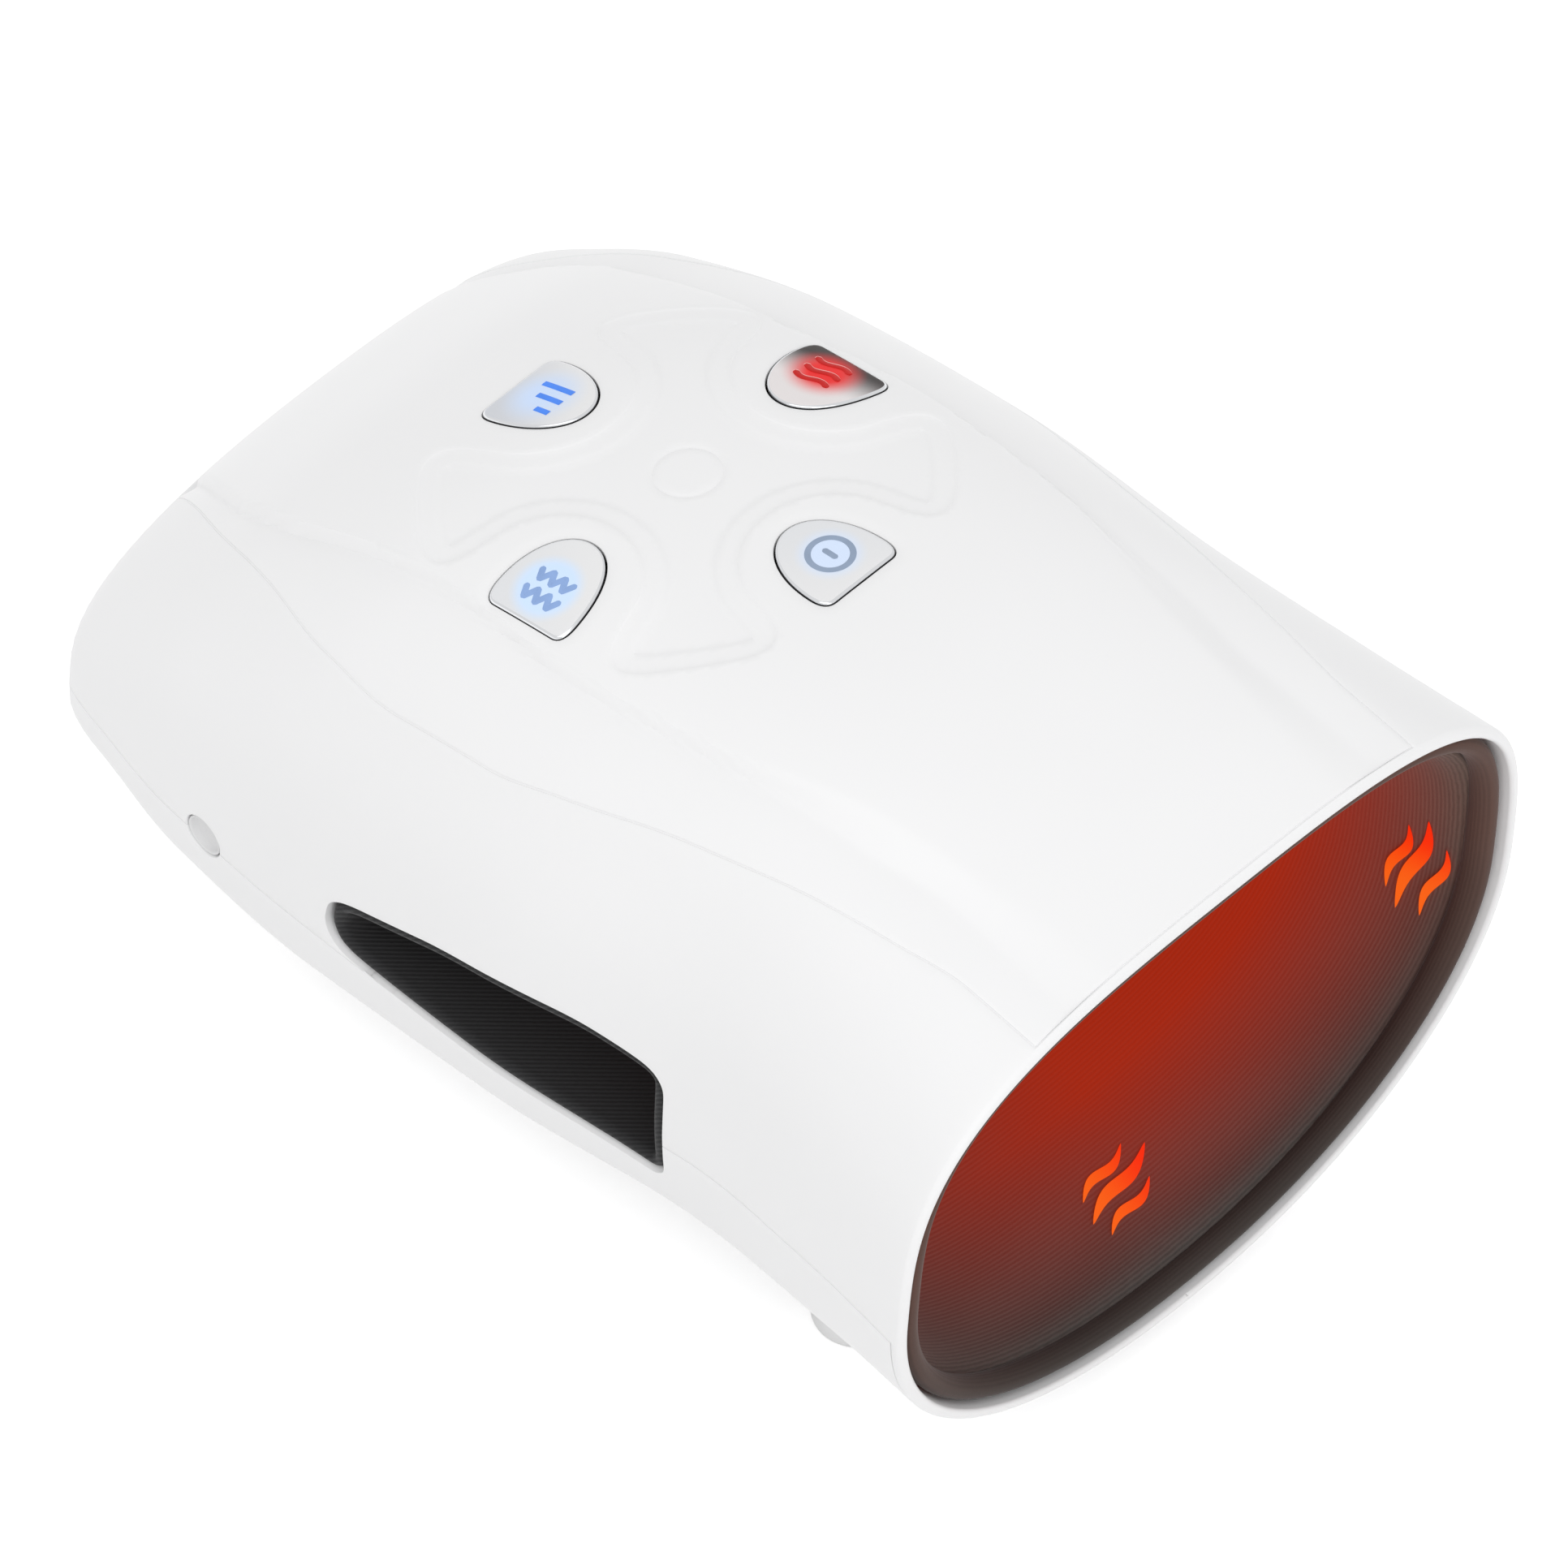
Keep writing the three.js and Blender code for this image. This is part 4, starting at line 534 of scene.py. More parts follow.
def shell_patch(curves, inside, low, high, spacing, to_skin, bevel, wall, depth=None, open_edge=None,
                inner_spacing=INNER_SPACING, lines=()):
    """Outer face, rounded edge, wall and inner face of a shell region, in mm."""
    offsets = [step * bevel for step in BEVEL_STEPS]
    places, triangles, border = triangulated(curves, inside, low, high, spacing, offsets, lines)
    if open_edge is not None:
        middle = places[border].mean(axis=1)
        border = border[~open_edge(middle)]
    points, normals = to_skin(places)
    sink = depth(places, points) if depth else np.zeros(len(places))
    near = distance_to(places, places[border[:, 0]], places[border[:, 1]])
    rest = np.clip(bevel - near, 0, bevel)
    sink = sink + bevel - np.sqrt(np.maximum(bevel * bevel - rest * rest, 0))
    vertices = [points - normals * sink[:, None]]
    faces = [triangles]
    count = len(places)
    used = np.unique(border)
    index = np.full(count, -1)
    index[used] = np.arange(len(used))
    deep = np.maximum(wall(points[used]) if callable(wall) else wall, sink[used] + LEAST_WALL)
    vertices.append(points[used] - normals[used] * deep[:, None])
    first, second = border.T
    quads = np.stack([second, first, count + index[first], count + index[second]], axis=1)
    if inner_spacing:
        coarse, inner, _ = triangulated(curves, inside, low, high, inner_spacing)
        points, normals = to_skin(coarse)
        sink = np.minimum(depth(coarse, points), INNER_SINK) if depth else np.zeros(len(points))
        vertices.append(points - normals * (wall + sink)[:, None])
        faces.append(inner[:, ::-1] + count + len(used))
    return np.vstack(vertices), [tuple(face) for block in faces + [quads] for face in block]


def placed(name, data):
    made = bpy.data.objects.new(name, data)
    bpy.context.collection.objects.link(made)
    return made


def make_mesh(name, vertices, faces, merge=0.0, sharp=None):
    mesh = bpy.data.meshes.new(name)
    mesh.from_pydata((np.asarray(vertices) * MM).tolist(), [], [tuple(int(i) for i in f) for f in faces])
    if merge:
        work = bmesh.new()
        work.from_mesh(mesh)
        bmesh.ops.remove_doubles(work, verts=work.verts, dist=merge * MM)
        work.to_mesh(mesh)
        work.free()
    mesh.validate()
    mesh.polygons.foreach_set("use_smooth", [True] * len(mesh.polygons))
    if sharp:
        mesh.set_sharp_from_angle(angle=math.radians(sharp))
    return placed(name, mesh)


def joined(*parts):
    vertices, faces, first = [], [], 0
    for points, part_faces in parts:
        vertices.append(points)
        faces += [tuple(i + first for i in f) for f in part_faces]
        first += len(points)
    return np.vstack(vertices), faces


def strip(rows, closed_ring=False, closed_rows=False):
    """Faces over rows of equal point count."""
    rows = np.asarray(rows, float)
    count, wide = rows.shape[:2]
    faces = []
    for i in range(count if closed_rows else count - 1):
        for j in range(wide if closed_ring else wide - 1):
            k, n = (j + 1) % wide, (i + 1) % count
            faces.append((i * wide + j, i * wide + k, n * wide + k, n * wide + j))
    return rows.reshape(-1, 3), faces


def crosswise(rows, closed):
    """Faces over lines that lie side by side."""
    return strip(np.transpose(np.array(rows), (1, 0, 2)), closed_rows=closed)


# Curves on the body skin as (u, v) arrays

SEAM_COUNT, BACK_COUNT, FRONT_COUNT, LOWER_STEP, NOSE_CUTS = 220, 70, 95, 1.2, 20


def seam_curve(offset):
    """Closed border of the cover opening, moved outwards by an offset."""
    front, back = COVER_FRONT - offset, COVER_BACK + offset
    alongs = np.linspace(front, back, SEAM_COUNT)
    right = [(u, body.v_of_x(u, float(seam_half(u)) + offset)) for u in alongs]
    left = [(u, -v) for u, v in reversed(right)]
    across_back = [(back, v) for v in np.linspace(right[-1][1], -right[-1][1], BACK_COUNT)[1:-1]]
    across_front = [(front, v) for v in np.linspace(-right[0][1], right[0][1], FRONT_COUNT)[1:-1]]
    return np.array(right + across_back + left + across_front)


def lower_curve(offset, side, start):
    alongs = list(np.arange(start, BODY_LENGTH, LOWER_STEP)) + [BODY_LENGTH]
    points = [(u, body.v_of_z(u, float(lower_seam(u)) + offset, side)) for u in alongs]
    v_end = points[-1][1]
    arc = body.half_arc(BODY_LENGTH)
    for step in range(1, NOSE_CUTS):
        share = 1 - step / NOSE_CUTS
        u = BODY_LENGTH + NOSE_U * (1 - share)
        points.append((u, v_end / arc * body.half_arc(u)))
    points.append((END_U, 0))
    return np.array(points)


def side_loop(outline, side):
    """Closed [along, height] outline on the side wall as (u, v)."""
    return np.array([(a, body.v_of_z(a, z, side)) for a, z in outline])


def port_circle(radius):
    turns = full_turn(40)
    return paired(PORT_ALONG + radius * np.cos(turns), PORT_HEIGHT + radius * np.sin(turns))


PORT_GAP, THUMB_SIDE, PORT_SIDE, TOP_SIDE = 0.3, 45, -50, 50
WALL, THUMB_WALL, THUMB_BORDER = 2.2, 3.6, 3.4
LIP_ROWS_END, EDGE_BEVEL, COVER_ARC, BASE_ARC, ARC_SPARE = 1.2, 0.22, 72, 135, 2
AT_EDGE, AT_LIP, AT_END = 0.02, 0.1, 0.05
HOUSING_SPACING, COVER_SPACING, BASE_SPACING, LINING_SPACING = 1.9, 1.15, 2.4, 2.3
THUMB_LOOP = thumb_outline()
PORT_LOOP = port_circle(PORT_RADIUS + PORT_GAP)


def side_holes(points):
    """True where a point of the skin isn't in a thumb opening or the port."""
    flat = side_view(points)
    in_thumb = in_outline(flat, THUMB_LOOP) & (np.abs(points[:, 0]) > THUMB_SIDE)
    return ~in_thumb & ~(in_outline(flat, PORT_LOOP) & (points[:, 0] < PORT_SIDE))


def wall_depth(points):
    near = to_outline(side_view(points), THUMB_LOOP) < THUMB_BORDER
    return np.where(near & (np.abs(points[:, 0]) > THUMB_SIDE), THUMB_WALL, WALL)


def housing():
    seam = seam_curve(GAP)
    seam_u, seam_x = COVER_FRONT - GAP, COVER_BACK + GAP

    def inside(places):
        u, v = places[:, 0], places[:, 1]
        points, _ = body.at(u, v)
        arc = body.half_arc(u)
        ok = (np.abs(v) <= arc + 1e-6) & (u >= LIP_U) & (u <= END_U)
        above = (points[:, 2] > lower_seam(np.minimum(u, BODY_LENGTH)) + GAP / 2) | (u < LIP_DEPTH)
        covered = (u > seam_u) & (u < seam_x) & (np.abs(points[:, 0]) < seam_half(u) + GAP)
        return ok & above & ~(covered & (points[:, 2] > TOP_SIDE)) & side_holes(points)

    wing = np.linspace(LIP_U, LIP_DEPTH, 26)
    curves = [(seam, True)]
    for side in (1, -1):
        low = lower_curve(GAP / 2, side, LIP_DEPTH)
        curves.append((low, False))
        curves.append((paired(wing, side * body.half_arc(wing)), False))
        across = np.linspace(abs(low[0][1]), body.half_arc(LIP_DEPTH), 60)
        curves.append((paired(LIP_DEPTH, side * across), False))
        curves.append((side_loop(THUMB_LOOP, side), True))
    curves.append((side_loop(PORT_LOOP, -1), True))
    for u in body.u[body.u < LIP_ROWS_END]:
        curves.append((paired(u, np.linspace(-body.half_arc(u), body.half_arc(u), 300)), False))

    def open_edge(middle):
        at_end = np.abs(np.abs(middle[:, 1]) - body.half_arc(middle[:, 0])) < AT_EDGE
        return at_end | (middle[:, 0] < LIP_U + AT_LIP)

    arc = float(body.length.max()) + ARC_SPARE
    return shell_patch(curves, inside, (LIP_U, -arc), (END_U, arc), HOUSING_SPACING,
                       lambda places: body.at(places[:, 0], places[:, 1]),
                       bevel=EDGE_BEVEL, wall=wall_depth, open_edge=open_edge, inner_spacing=None)


RIBBON_DEPTH, RIBBON_HALF = 0.22, 0.5


def ribbon(curve, closed=True, sink=0.0):
    """Strip under a gap, a little wider than the gap. It stops at the openings."""
    rows = []
    for offset in (-RIBBON_HALF, 0, RIBBON_HALF):
        places = grown(curve, offset, closed)
        points, normals = body.at(places[:, 0], places[:, 1])
        rows.append(points - normals * (RIBBON_DEPTH + np.reshape(sink, (-1, 1))))
    points, faces = crosswise(rows, closed)
    solid = side_holes(points)
    return points, [face for face in faces if solid[list(face)].all()]


def cover_ribbon():
    curve = seam_curve(GAP / 2)
    points, _ = body.at(curve[:, 0], curve[:, 1])
    along = np.clip(curve[:, 0], COVER_FRONT, COVER_BACK)
    x = np.clip(np.abs(points[:, 0]), 0, seam_half(along))
    return ribbon(curve, sink=cover_depth(paired(x, along)))


def cover():
    seam = seam_curve(0)
    loops = {name: np.array([(a, body.v_of_x(a, x)) for x, a in outline]) for name, outline in WELLS.items()}

    def inside(places):
        u, v = places[:, 0], places[:, 1]
        points, _ = body.at(u, v)
        ok = (u >= COVER_FRONT) & (u <= COVER_BACK) & (np.abs(points[:, 0]) < seam_half(u))
        ok &= points[:, 2] > TOP_SIDE
        for outline in WELLS.values():
            ok &= ~in_outline(paired(points[:, 0], u), outline)
        return ok

    def depth(places, points):
        return cover_depth(paired(points[:, 0], places[:, 0]))

    curves = [(seam, True)] + [(loop, True) for loop in loops.values()]
    return shell_patch(curves, inside, (COVER_FRONT, -COVER_ARC), (COVER_BACK, COVER_ARC), COVER_SPACING,
                       lambda places: body.at(places[:, 0], places[:, 1]), depth=depth, bevel=EDGE_BEVEL,
                       wall=COVER_THICKNESS, lines=relief_lines())


SCREW_X, SCREWS_ALONG, SCREW_HOLE, SCREW_TOP = 38, (96, 166), 3.2, 40


def under_body(x, along):
    """Height of the lower half of the body skin and its share of the half arc."""
    row = body.row(along)
    lower = slice(int(np.argmax(row[:, 0])), None)
    width = row[lower, 0][::-1]
    return [float(np.interp(abs(x), width, column[lower][::-1])) for column in (row[:, 2], body.share)]


def screw_place(along, turn, side):
    """Point of a screw hole's edge as place along and arc from the bottom centre."""
    u = along + SCREW_HOLE * math.sin(turn)
    _, share = under_body(SCREW_X + SCREW_HOLE * math.cos(turn), u)
    return u, side * (1 - share) * body.half_arc(u)


def base():
    """Lower shell; v is measured from the bottom centre."""
    def to_skin(places):
        v = places[:, 1]
        arc = body.half_arc(places[:, 0])
        side = np.where(v >= 0, 1, -1)
        return body.at(places[:, 0], side * np.maximum(arc - np.abs(v), 1e-7))

    def turned(curve, side):
        return paired(curve[:, 0], side * (body.half_arc(curve[:, 0]) - np.abs(curve[:, 1])))

    front = LIP_DEPTH + GAP

    def inside(places):
        points, _ = to_skin(places)
        u = places[:, 0]
        ok = (u >= front) & (u <= END_U) & (np.abs(places[:, 1]) <= body.half_arc(u))
        below = points[:, 2] < lower_seam(np.minimum(u, BODY_LENGTH)) - GAP / 2
        solid = side_holes(points)
        for along in SCREWS_ALONG:
            away = np.hypot(np.abs(points[:, 0]) - SCREW_X, points[:, 1] - MOUTH_Y - along)
            solid &= (away > SCREW_HOLE) | (points[:, 2] > SCREW_TOP)
        return ok & below & solid

    curves = []
    for side in (1, -1):
        curves.append((turned(lower_curve(-GAP / 2, side, front), side), False))
        curves.append((turned(side_loop(THUMB_LOOP, side), side), True))
    curves.append((turned(side_loop(PORT_LOOP, -1), -1), True))
    end = abs(curves[0][0][0][1])
    curves.append((paired(front, np.linspace(-end, end, 160)), False))
    for side in (1, -1):
        for along in SCREWS_ALONG:
            loop = [screw_place(along, turn, side) for turn in full_turn(28)]
            curves.append((np.array(loop), True))
    return shell_patch(curves, inside, (front, -BASE_ARC), (END_U, BASE_ARC), BASE_SPACING, to_skin,
                       bevel=EDGE_BEVEL, wall=wall_depth, inner_spacing=None)


# Fabric inside: lining, rim and thumb sleeves

FABRIC = 2.6
LINING_FRONT, LINING_END, LINING_NOSE, LINING_SIDE = 4.6, 193.0, 12.0, 30
LINING_PROUD, MARK_PROUD, HOLE_INSET = 0.4, -0.05, 3.1
CAVITY_STEP, CAVITY_STEPS, CAVITY_CROWN, RIM_STEPS = 1.6, 10, 0.3, 20
PUFF, PUFF_ALONG, PUFF_ACROSS, PUFF_START = 0.35, 0.19, 0.11, 10
TUCK, TUCK_END = 1.2, 3.5
SLEEVE_INSET, SLEEVE_ROLL, SLEEVE_DEPTH, SLEEVE_REACH = 0.45, 1.5, 2.4, 7
SLEEVE_SUNK, SLEEVE_END, SLEEVE_SWELL, SLEEVE_STEPS = 0.5, 0.9, 0.45, 8

cavity_half, cavity_top, cavity_bottom = (smooth_curve(CAVITY, k) for k in (1, 2, 3))
upper_power, lower_power = (smooth_curve(CAVITY_POWERS, k) for k in (1, 2))


def cavity_section(along):
    top, bottom = float(cavity_top(along)), float(cavity_bottom(along))
    return (float(cavity_half(along)), top, bottom, (top + bottom) / 2,
            float(upper_power(along)), float(lower_power(along)))


def cavity_rows():
    rows = [(along, MOUTH_Y + along, cavity_section(along), 0, 1, 0)
            for along in np.append(np.arange(LINING_FRONT, LINING_END, CAVITY_STEP), LINING_END)]
    last = cavity_section(LINING_END)
    for step in range(1, CAVITY_STEPS + 1):
        scale = max(1 - step / CAVITY_STEPS, POLE_SCALE)
        y = MOUTH_Y + LINING_END + CAVITY_CROWN * (1 - scale * scale)
        rows.append((LINING_END + LINING_NOSE * (1 - scale), y, last, 0, scale, last[3]))
    return rows


cavity = Skin(cavity_rows())


def lining():
    """Fabric shell round the hand with a hole at each thumb opening."""
    hole = thumb_outline(-HOLE_INSET)
    end = LINING_END + LINING_NOSE

    def inside(places):
        points, _ = cavity.at(places[:, 0], places[:, 1])
        ok = (np.abs(places[:, 1]) <= cavity.half_arc(places[:, 0]) + 1e-6)
        ok &= (places[:, 0] >= LINING_FRONT) & (places[:, 0] <= end)
        return ok & ~(in_outline(side_view(points), hole) & (np.abs(points[:, 0]) > LINING_SIDE))

    front_arc = float(cavity.half_arc(LINING_FRONT))
    alongs = np.append(np.arange(LINING_FRONT, end, 2.0), end)
    curves = [(paired(LINING_FRONT, np.linspace(-front_arc, front_arc, 200)), False)]
    for side in (1, -1):
        curves.append((paired(alongs, side * cavity.half_arc(alongs)), False))
        curves.append((np.array([(a, cavity.v_of_z(a, z, side)) for a, z in hole]), True))
    arc = float(cavity.length.max()) + ARC_SPARE
    places, triangles, border = triangulated(curves, inside, (LINING_FRONT, -arc), (end, arc), LINING_SPACING)
    middle = places[border].mean(axis=1)
    border = border[np.abs(np.abs(middle[:, 1]) - cavity.half_arc(middle[:, 0])) > AT_END]
    points, normals = cavity.at(places[:, 0], places[:, 1])
    beyond = places[:, 0] - LINING_FRONT
    puff = PUFF * np.sin(beyond * PUFF_ALONG) * np.cos(places[:, 1] * PUFF_ACROSS)
    puff *= smooth_step(beyond / PUFF_START)
    tuck = TUCK * (1 - smooth_step(beyond / TUCK_END))
    inner = points + normals * (LINING_PROUD + puff + tuck)[:, None]
    count = len(places)
    walls = np.stack([border[:, 0], border[:, 1], count + border[:, 1], count + border[:, 0]], axis=1)
    faces = [tuple(face) for block in (triangles[:, ::-1], triangles + count, walls) for face in block]
    return np.vstack([inner, points + normals * FABRIC]), faces


def rim():
    """Padded roll between the lip and the lining."""
    middle, deep, half, reach = 4.95, 3.9, 2.05, 2.7
    rows = []
    for step in range(RIM_STEPS):
        turn = 2 * math.pi * step / RIM_STEPS
        along = deep - reach * math.cos(turn)
        rows.append((step, MOUTH_Y + along, body_section(along), -(middle + half * math.sin(turn)), 1, 0))
    roll = Skin(rows).points
    ring = np.concatenate([roll, roll[:, -2:0:-1] * (-1, 1, 1)], axis=1)[:, ::3]
    return strip(ring, closed_ring=True, closed_rows=True)


def sleeve(side):
    """Padded tube from the thumb opening in the wall to the lining."""
    loop = resampled(thumb_outline(), 0.9)
    outward = grown(loop, 1) - loop
    rows = []
    for (along, z), (na, nz) in zip(loop, outward):
        inset = SLEEVE_INSET + SLEEVE_ROLL
        a, h = along - na * inset, z - nz * inset
        skin, _ = body.at([a], [body.v_of_z(a, h, side)])
        centre_x = abs(skin[0, 0]) - SLEEVE_DEPTH
        row = [(a + na * SLEEVE_ROLL, centre_x - SLEEVE_REACH * t, h + nz * SLEEVE_ROLL) for t in (1, 0.5)]
        for step in range(SLEEVE_STEPS + 1):
            turn = math.pi * step / SLEEVE_STEPS
            out = SLEEVE_ROLL * math.cos(turn)
            row.append((a + na * out, centre_x + SLEEVE_ROLL * math.sin(turn), h + nz * out))
        ia, ih = along - na * (HOLE_INSET + SLEEVE_SUNK), z - nz * (HOLE_INSET + SLEEVE_SUNK)
        end, _ = cavity.at([ia], [cavity.v_of_z(ia, ih, side)])
        end_x = abs(end[0, 0]) + SLEEVE_END
        last = np.array(row[-1])
        goal = np.array((ia, min(end_x, centre_x - 1), ih))
        for step in range(1, SLEEVE_STEPS + 1):
            t = step / SLEEVE_STEPS
            spot = last + (goal - last) * t
            swell = SLEEVE_SWELL * math.sin(math.pi * t)
            row.append((spot[0] - na * swell, spot[1], spot[2] - nz * swell))
        rows.append([(side * x, MOUTH_Y + a, h) for a, x, h in row])
    return strip(np.array(rows), closed_rows=True)


def from_floor(u, w):
    """Point and normal of the lining at an arc w from its lowest line."""
    arc = cavity.half_arc(u)
    sign = np.where(w >= 0, 1, -1)
    return cavity.at(u, sign * np.maximum(arc - np.abs(w), 1e-7))


TONGUES = [(3.1, -1.2, 13.5, 0.9), (0, 0, 18.5, 1.2), (-4.0, -1.1, 13.5, 0.9)]
TONGUE_BEND, TONGUE_SLANTED, TONGUE_POWER = 0.9, 18, 0.7


def heat_mark(u, w, slant, size):
    """Three flame tongues that lie on the lining."""
    parts = []
    for shift, rise, length, wide in TONGUES:
        t = np.linspace(0, 1, 40)
        length *= size
        run = w + rise + length * (t - 0.5)
        bend = TONGUE_BEND * np.sin(2 * math.pi * t) + slant * length / TONGUE_SLANTED * (t - 0.5)
        half = wide * np.sin(math.pi * t) ** TONGUE_POWER
        rows = []
        for across in (-1, -0.5, 0, 0.5, 1):
            points, normals = from_floor(u + shift + bend + half * across, run)
            rows.append(points + normals * MARK_PROUD)
        parts.append(crosswise(rows, False))
    return joined(*parts)


# Buttons and their icons

BUTTON_GAP, BUTTON_PROUD, BUTTON_EDGE, BUTTON_SKIRT = 0.28, 0.05, 0.42, 4.6
STROKE_DOME, STROKE_LIFT = 0.05, 0.015


def cap_surface(places, lift=0.0):
    return on_panel(places, skin_lift(places) + BUTTON_PROUD + lift)


def cap(name):
    outline = button_outline(name, -BUTTON_GAP, 0.5)

    def to_skin(places):
        return cap_surface(places), np.tile(PANEL_UP, (len(places), 1))

    low, high = outline.min(axis=0) - 1, outline.max(axis=0) + 1
    return shell_patch([(outline, True)], lambda places: in_outline(places, outline), low, high, 0.8, to_skin,
                       bevel=BUTTON_EDGE, wall=BUTTON_SKIRT, inner_spacing=3.0)


def mark_edges(piece, name, width):
    """Second material for the rounded edge and third, a painted shadow, for the skirt below it."""
    outline = button_outline(name, -BUTTON_GAP, 0.5)
    centres = np.array([tuple(face.center) for face in piece.data.polygons]) / MM - PANEL_ORIGIN
    flat = np.stack([centres[:, 0], centres @ PANEL_Y], axis=1)
    away = to_outline(flat, outline)
    skirt = (away < AT_EDGE) | ~in_outline(flat, outline)
    part = np.where(skirt, 2, np.where(away < width, 1, 0))
    piece.data.polygons.foreach_set("material_index", part.astype(int).tolist())


def raised(places, dome, lift, closed=False):
    """Low ridge over the places that are given for each share of its half width."""
    return crosswise([cap_surface(places(across), lift + dome * (1 - across * across))
                      for across in (-1, -0.6, 0, 0.6, 1)], closed)


def stroke(points, width, dome=STROKE_DOME, lift=STROKE_LIFT, cut=0.12, square=False):
    """Raised line with round or square ends on a button's face."""
    points = np.asarray(points, float)
    for _ in range(2):
        first, second = points[:-1], points[1:]
        inner = np.stack([(1 - cut) * first + cut * second, cut * first + (1 - cut) * second], axis=1)
        points = np.vstack([points[:1], inner.reshape(-1, 2)[1:-1], points[-1:]])
    points = resampled(points, 0.15, closed=False)
    run = np.concatenate([[0], np.cumsum(np.linalg.norm(np.diff(points, axis=0), axis=1))])
    along = np.gradient(points, axis=0)
    along /= np.linalg.norm(along, axis=1, keepdims=True)
    side = paired(along[:, 1], -along[:, 0])
    end = np.clip(np.minimum(run, run[-1] - run) / (width / 2), 0, 1)
    half = width / 2 * (np.ones(len(points)) if square else np.sqrt(np.maximum(1 - (1 - end) ** 2, 0.02)))
    return raised(lambda across: points + side * (half * across)[:, None], dome, lift)


def ring_stroke(centre, radius, width):
    turns = full_turn(72)

    def places(across):
        reach = radius + across * width / 2
        return paired(centre[0] + reach * np.cos(turns), centre[1] + reach * np.sin(turns))

    return raised(places, STROKE_DOME, STROKE_LIFT, closed=True)


# Icon places on each button, in millimetres from its spot, measured on the photograph
BAR_WIDTH, BARS = 1.28, [(2.75, -5.7, 1.8), (-0.35, -5.73, 0.22), (-3.6, -5.78, -2.45)]
RING_CENTRE, POWER_RING, RING_STROKE = (0.63, 1.74), 3.98, 1.15
POWER_BAR, POWER_BAR_WIDTH = (3.5, 0.1), 1.2
ZIGZAG_TOPS, ZIGZAG_HALF = [(2.1, 3.9), (-1.94, 4.05)], 1.2
ZIGZAG_STEPS, ZIGZAG_STROKE = (1.15, 1.55), 1.25
HEAT_WAVES = [(-3.4, 4.35, -3.25), (-0.4, 4.6, -3.05), (2.75, 5.05, -2.75)]
WAVE_SWAY, WAVE_STROKE, WAVE_DOME, WAVE_LIFT = 0.68, 1.25, 0.1, 0.04
# Shift of the pale copy of the heat waves that makes their painted highlight.
HIGHLIGHT_SHIFT = (0.12, 0.16)


def heat_waves(name, dome, lift, shift=(0, 0)):
    parts = []
    x0, y0, _ = BUTTONS[name]
    for x, top, low in HEAT_WAVES:
        t = np.linspace(0, 1, 26)
        sway = 0.15 - WAVE_SWAY * np.sin(2 * math.pi * t)
        line = paired(x0 + x + sway + shift[0], y0 + top + (low - top) * t + shift[1])
        parts.append(stroke(line, WAVE_STROKE, dome, lift))
    return joined(*parts)


def zigzag(x, y):
    short, long = ZIGZAG_STEPS
    points = [(x + ZIGZAG_HALF * (-1) ** k, y - short * ((k + 1) // 2) - long * (k // 2)) for k in range(7)]
    return stroke(points, ZIGZAG_STROKE, cut=0.05)


def icon(name):
    x0, y0, _ = BUTTONS[name]
    if name == "intensity":
        return joined(*[stroke([(x0 + x, y0 + low), (x0 + x, y0 + top)], BAR_WIDTH, square=True)
                        for x, low, top in BARS])
    if name == "power":
        x = x0 + RING_CENTRE[0]
        bar = stroke([(x, y0 + end) for end in POWER_BAR], POWER_BAR_WIDTH)
        return joined(ring_stroke((x, y0 + RING_CENTRE[1]), POWER_RING, RING_STROKE), bar)
    if name == "mode":
        return joined(*[zigzag(x0 + x, y0 + y) for x, y in ZIGZAG_TOPS])
    return heat_waves(name, WAVE_DOME, WAVE_LIFT)


# Charging socket, feet, air bags and heater film

FOOT_RADIUS, FOOT_SUNK, FOOT_LEAST = 8.0, 0.3, 2.4
FOOT_PROFILE = [
    (0.02, 0.3), (2.0, 0.3), (2.2, 0.05), (3.9, 0.05), (4.1, 0.3), (4.5, 0.3), (4.7, 0.0), (6.7, 0.0),
    (7.4, 0.16), (7.8, 0.5), (FOOT_RADIUS, 1.1), (FOOT_RADIUS, 2.2),
]
FEET = {"front": (40.15, 41.95), "rear": (40.0, 172.0)}
SOCKET_PROFILE = [
    (4.12, 6.0), (4.12, 0.5), (4.05, 0.3), (3.9, 0.22), (3.74, 0.3), (3.62, 0.55), (3.5, 1.1), (3.25, 1.5),
    (2.8, 1.68), (1.9, 1.72), (1.65, 1.78), (1.5, 1.95), (1.3, 1.98), (0.9, 1.9), (0.02, 1.86),
]
BAG_INNER, BAG_OUTER, BAG_RIM, BAG_CORNERS, WELD_PITCH = 4.4, 7.7, 0.4, 0.42, 17
BAG_CROWN, BAG_SLOPE, WELD_POWER, WELD_LEAST = 0.9, 0.3, 0.6, 0.35
BAG_RINGS = (1, 0.985, 0.93, 0.9, 0.87, 0.82, 0.75, 0.66, 0.56, 0.46, 0.36, 0.26, 0.16, 0.06, 0.001)
HEATER_INNER, HEATER_OUTER = 3.4, 3.8
BAGS = {
    "airbag_back_of_hand": (72, 122, 36, True), "airbag_palm": (72, 122, 36, False),
    "airbag_fingers_upper": (126, 172, 30, True), "airbag_fingers_lower": (126, 172, 30, False),
}
HEATER = (68, 176, 39, True)


def lathe_rows(profile, turns, place):
    """One row of points for each (radius, depth) of the profile; place turns a point into x, y and z."""
    return np.array([[place(r * math.cos(t), r * math.sin(t), depth) for t in turns] for r, depth in profile])


def socket():
    """Rounded ring and shallow dish in the side wall."""
    def place(a, h, depth):
        along, z = PORT_ALONG + a, PORT_HEIGHT + h
        skin, _ = body.at([along], [body.v_of_z(along, z, -1)])
        return (skin[0, 0] + depth, MOUTH_Y + along, z)

    return strip(lathe_rows(SOCKET_PROFILE, full_turn(48), place), closed_ring=True)


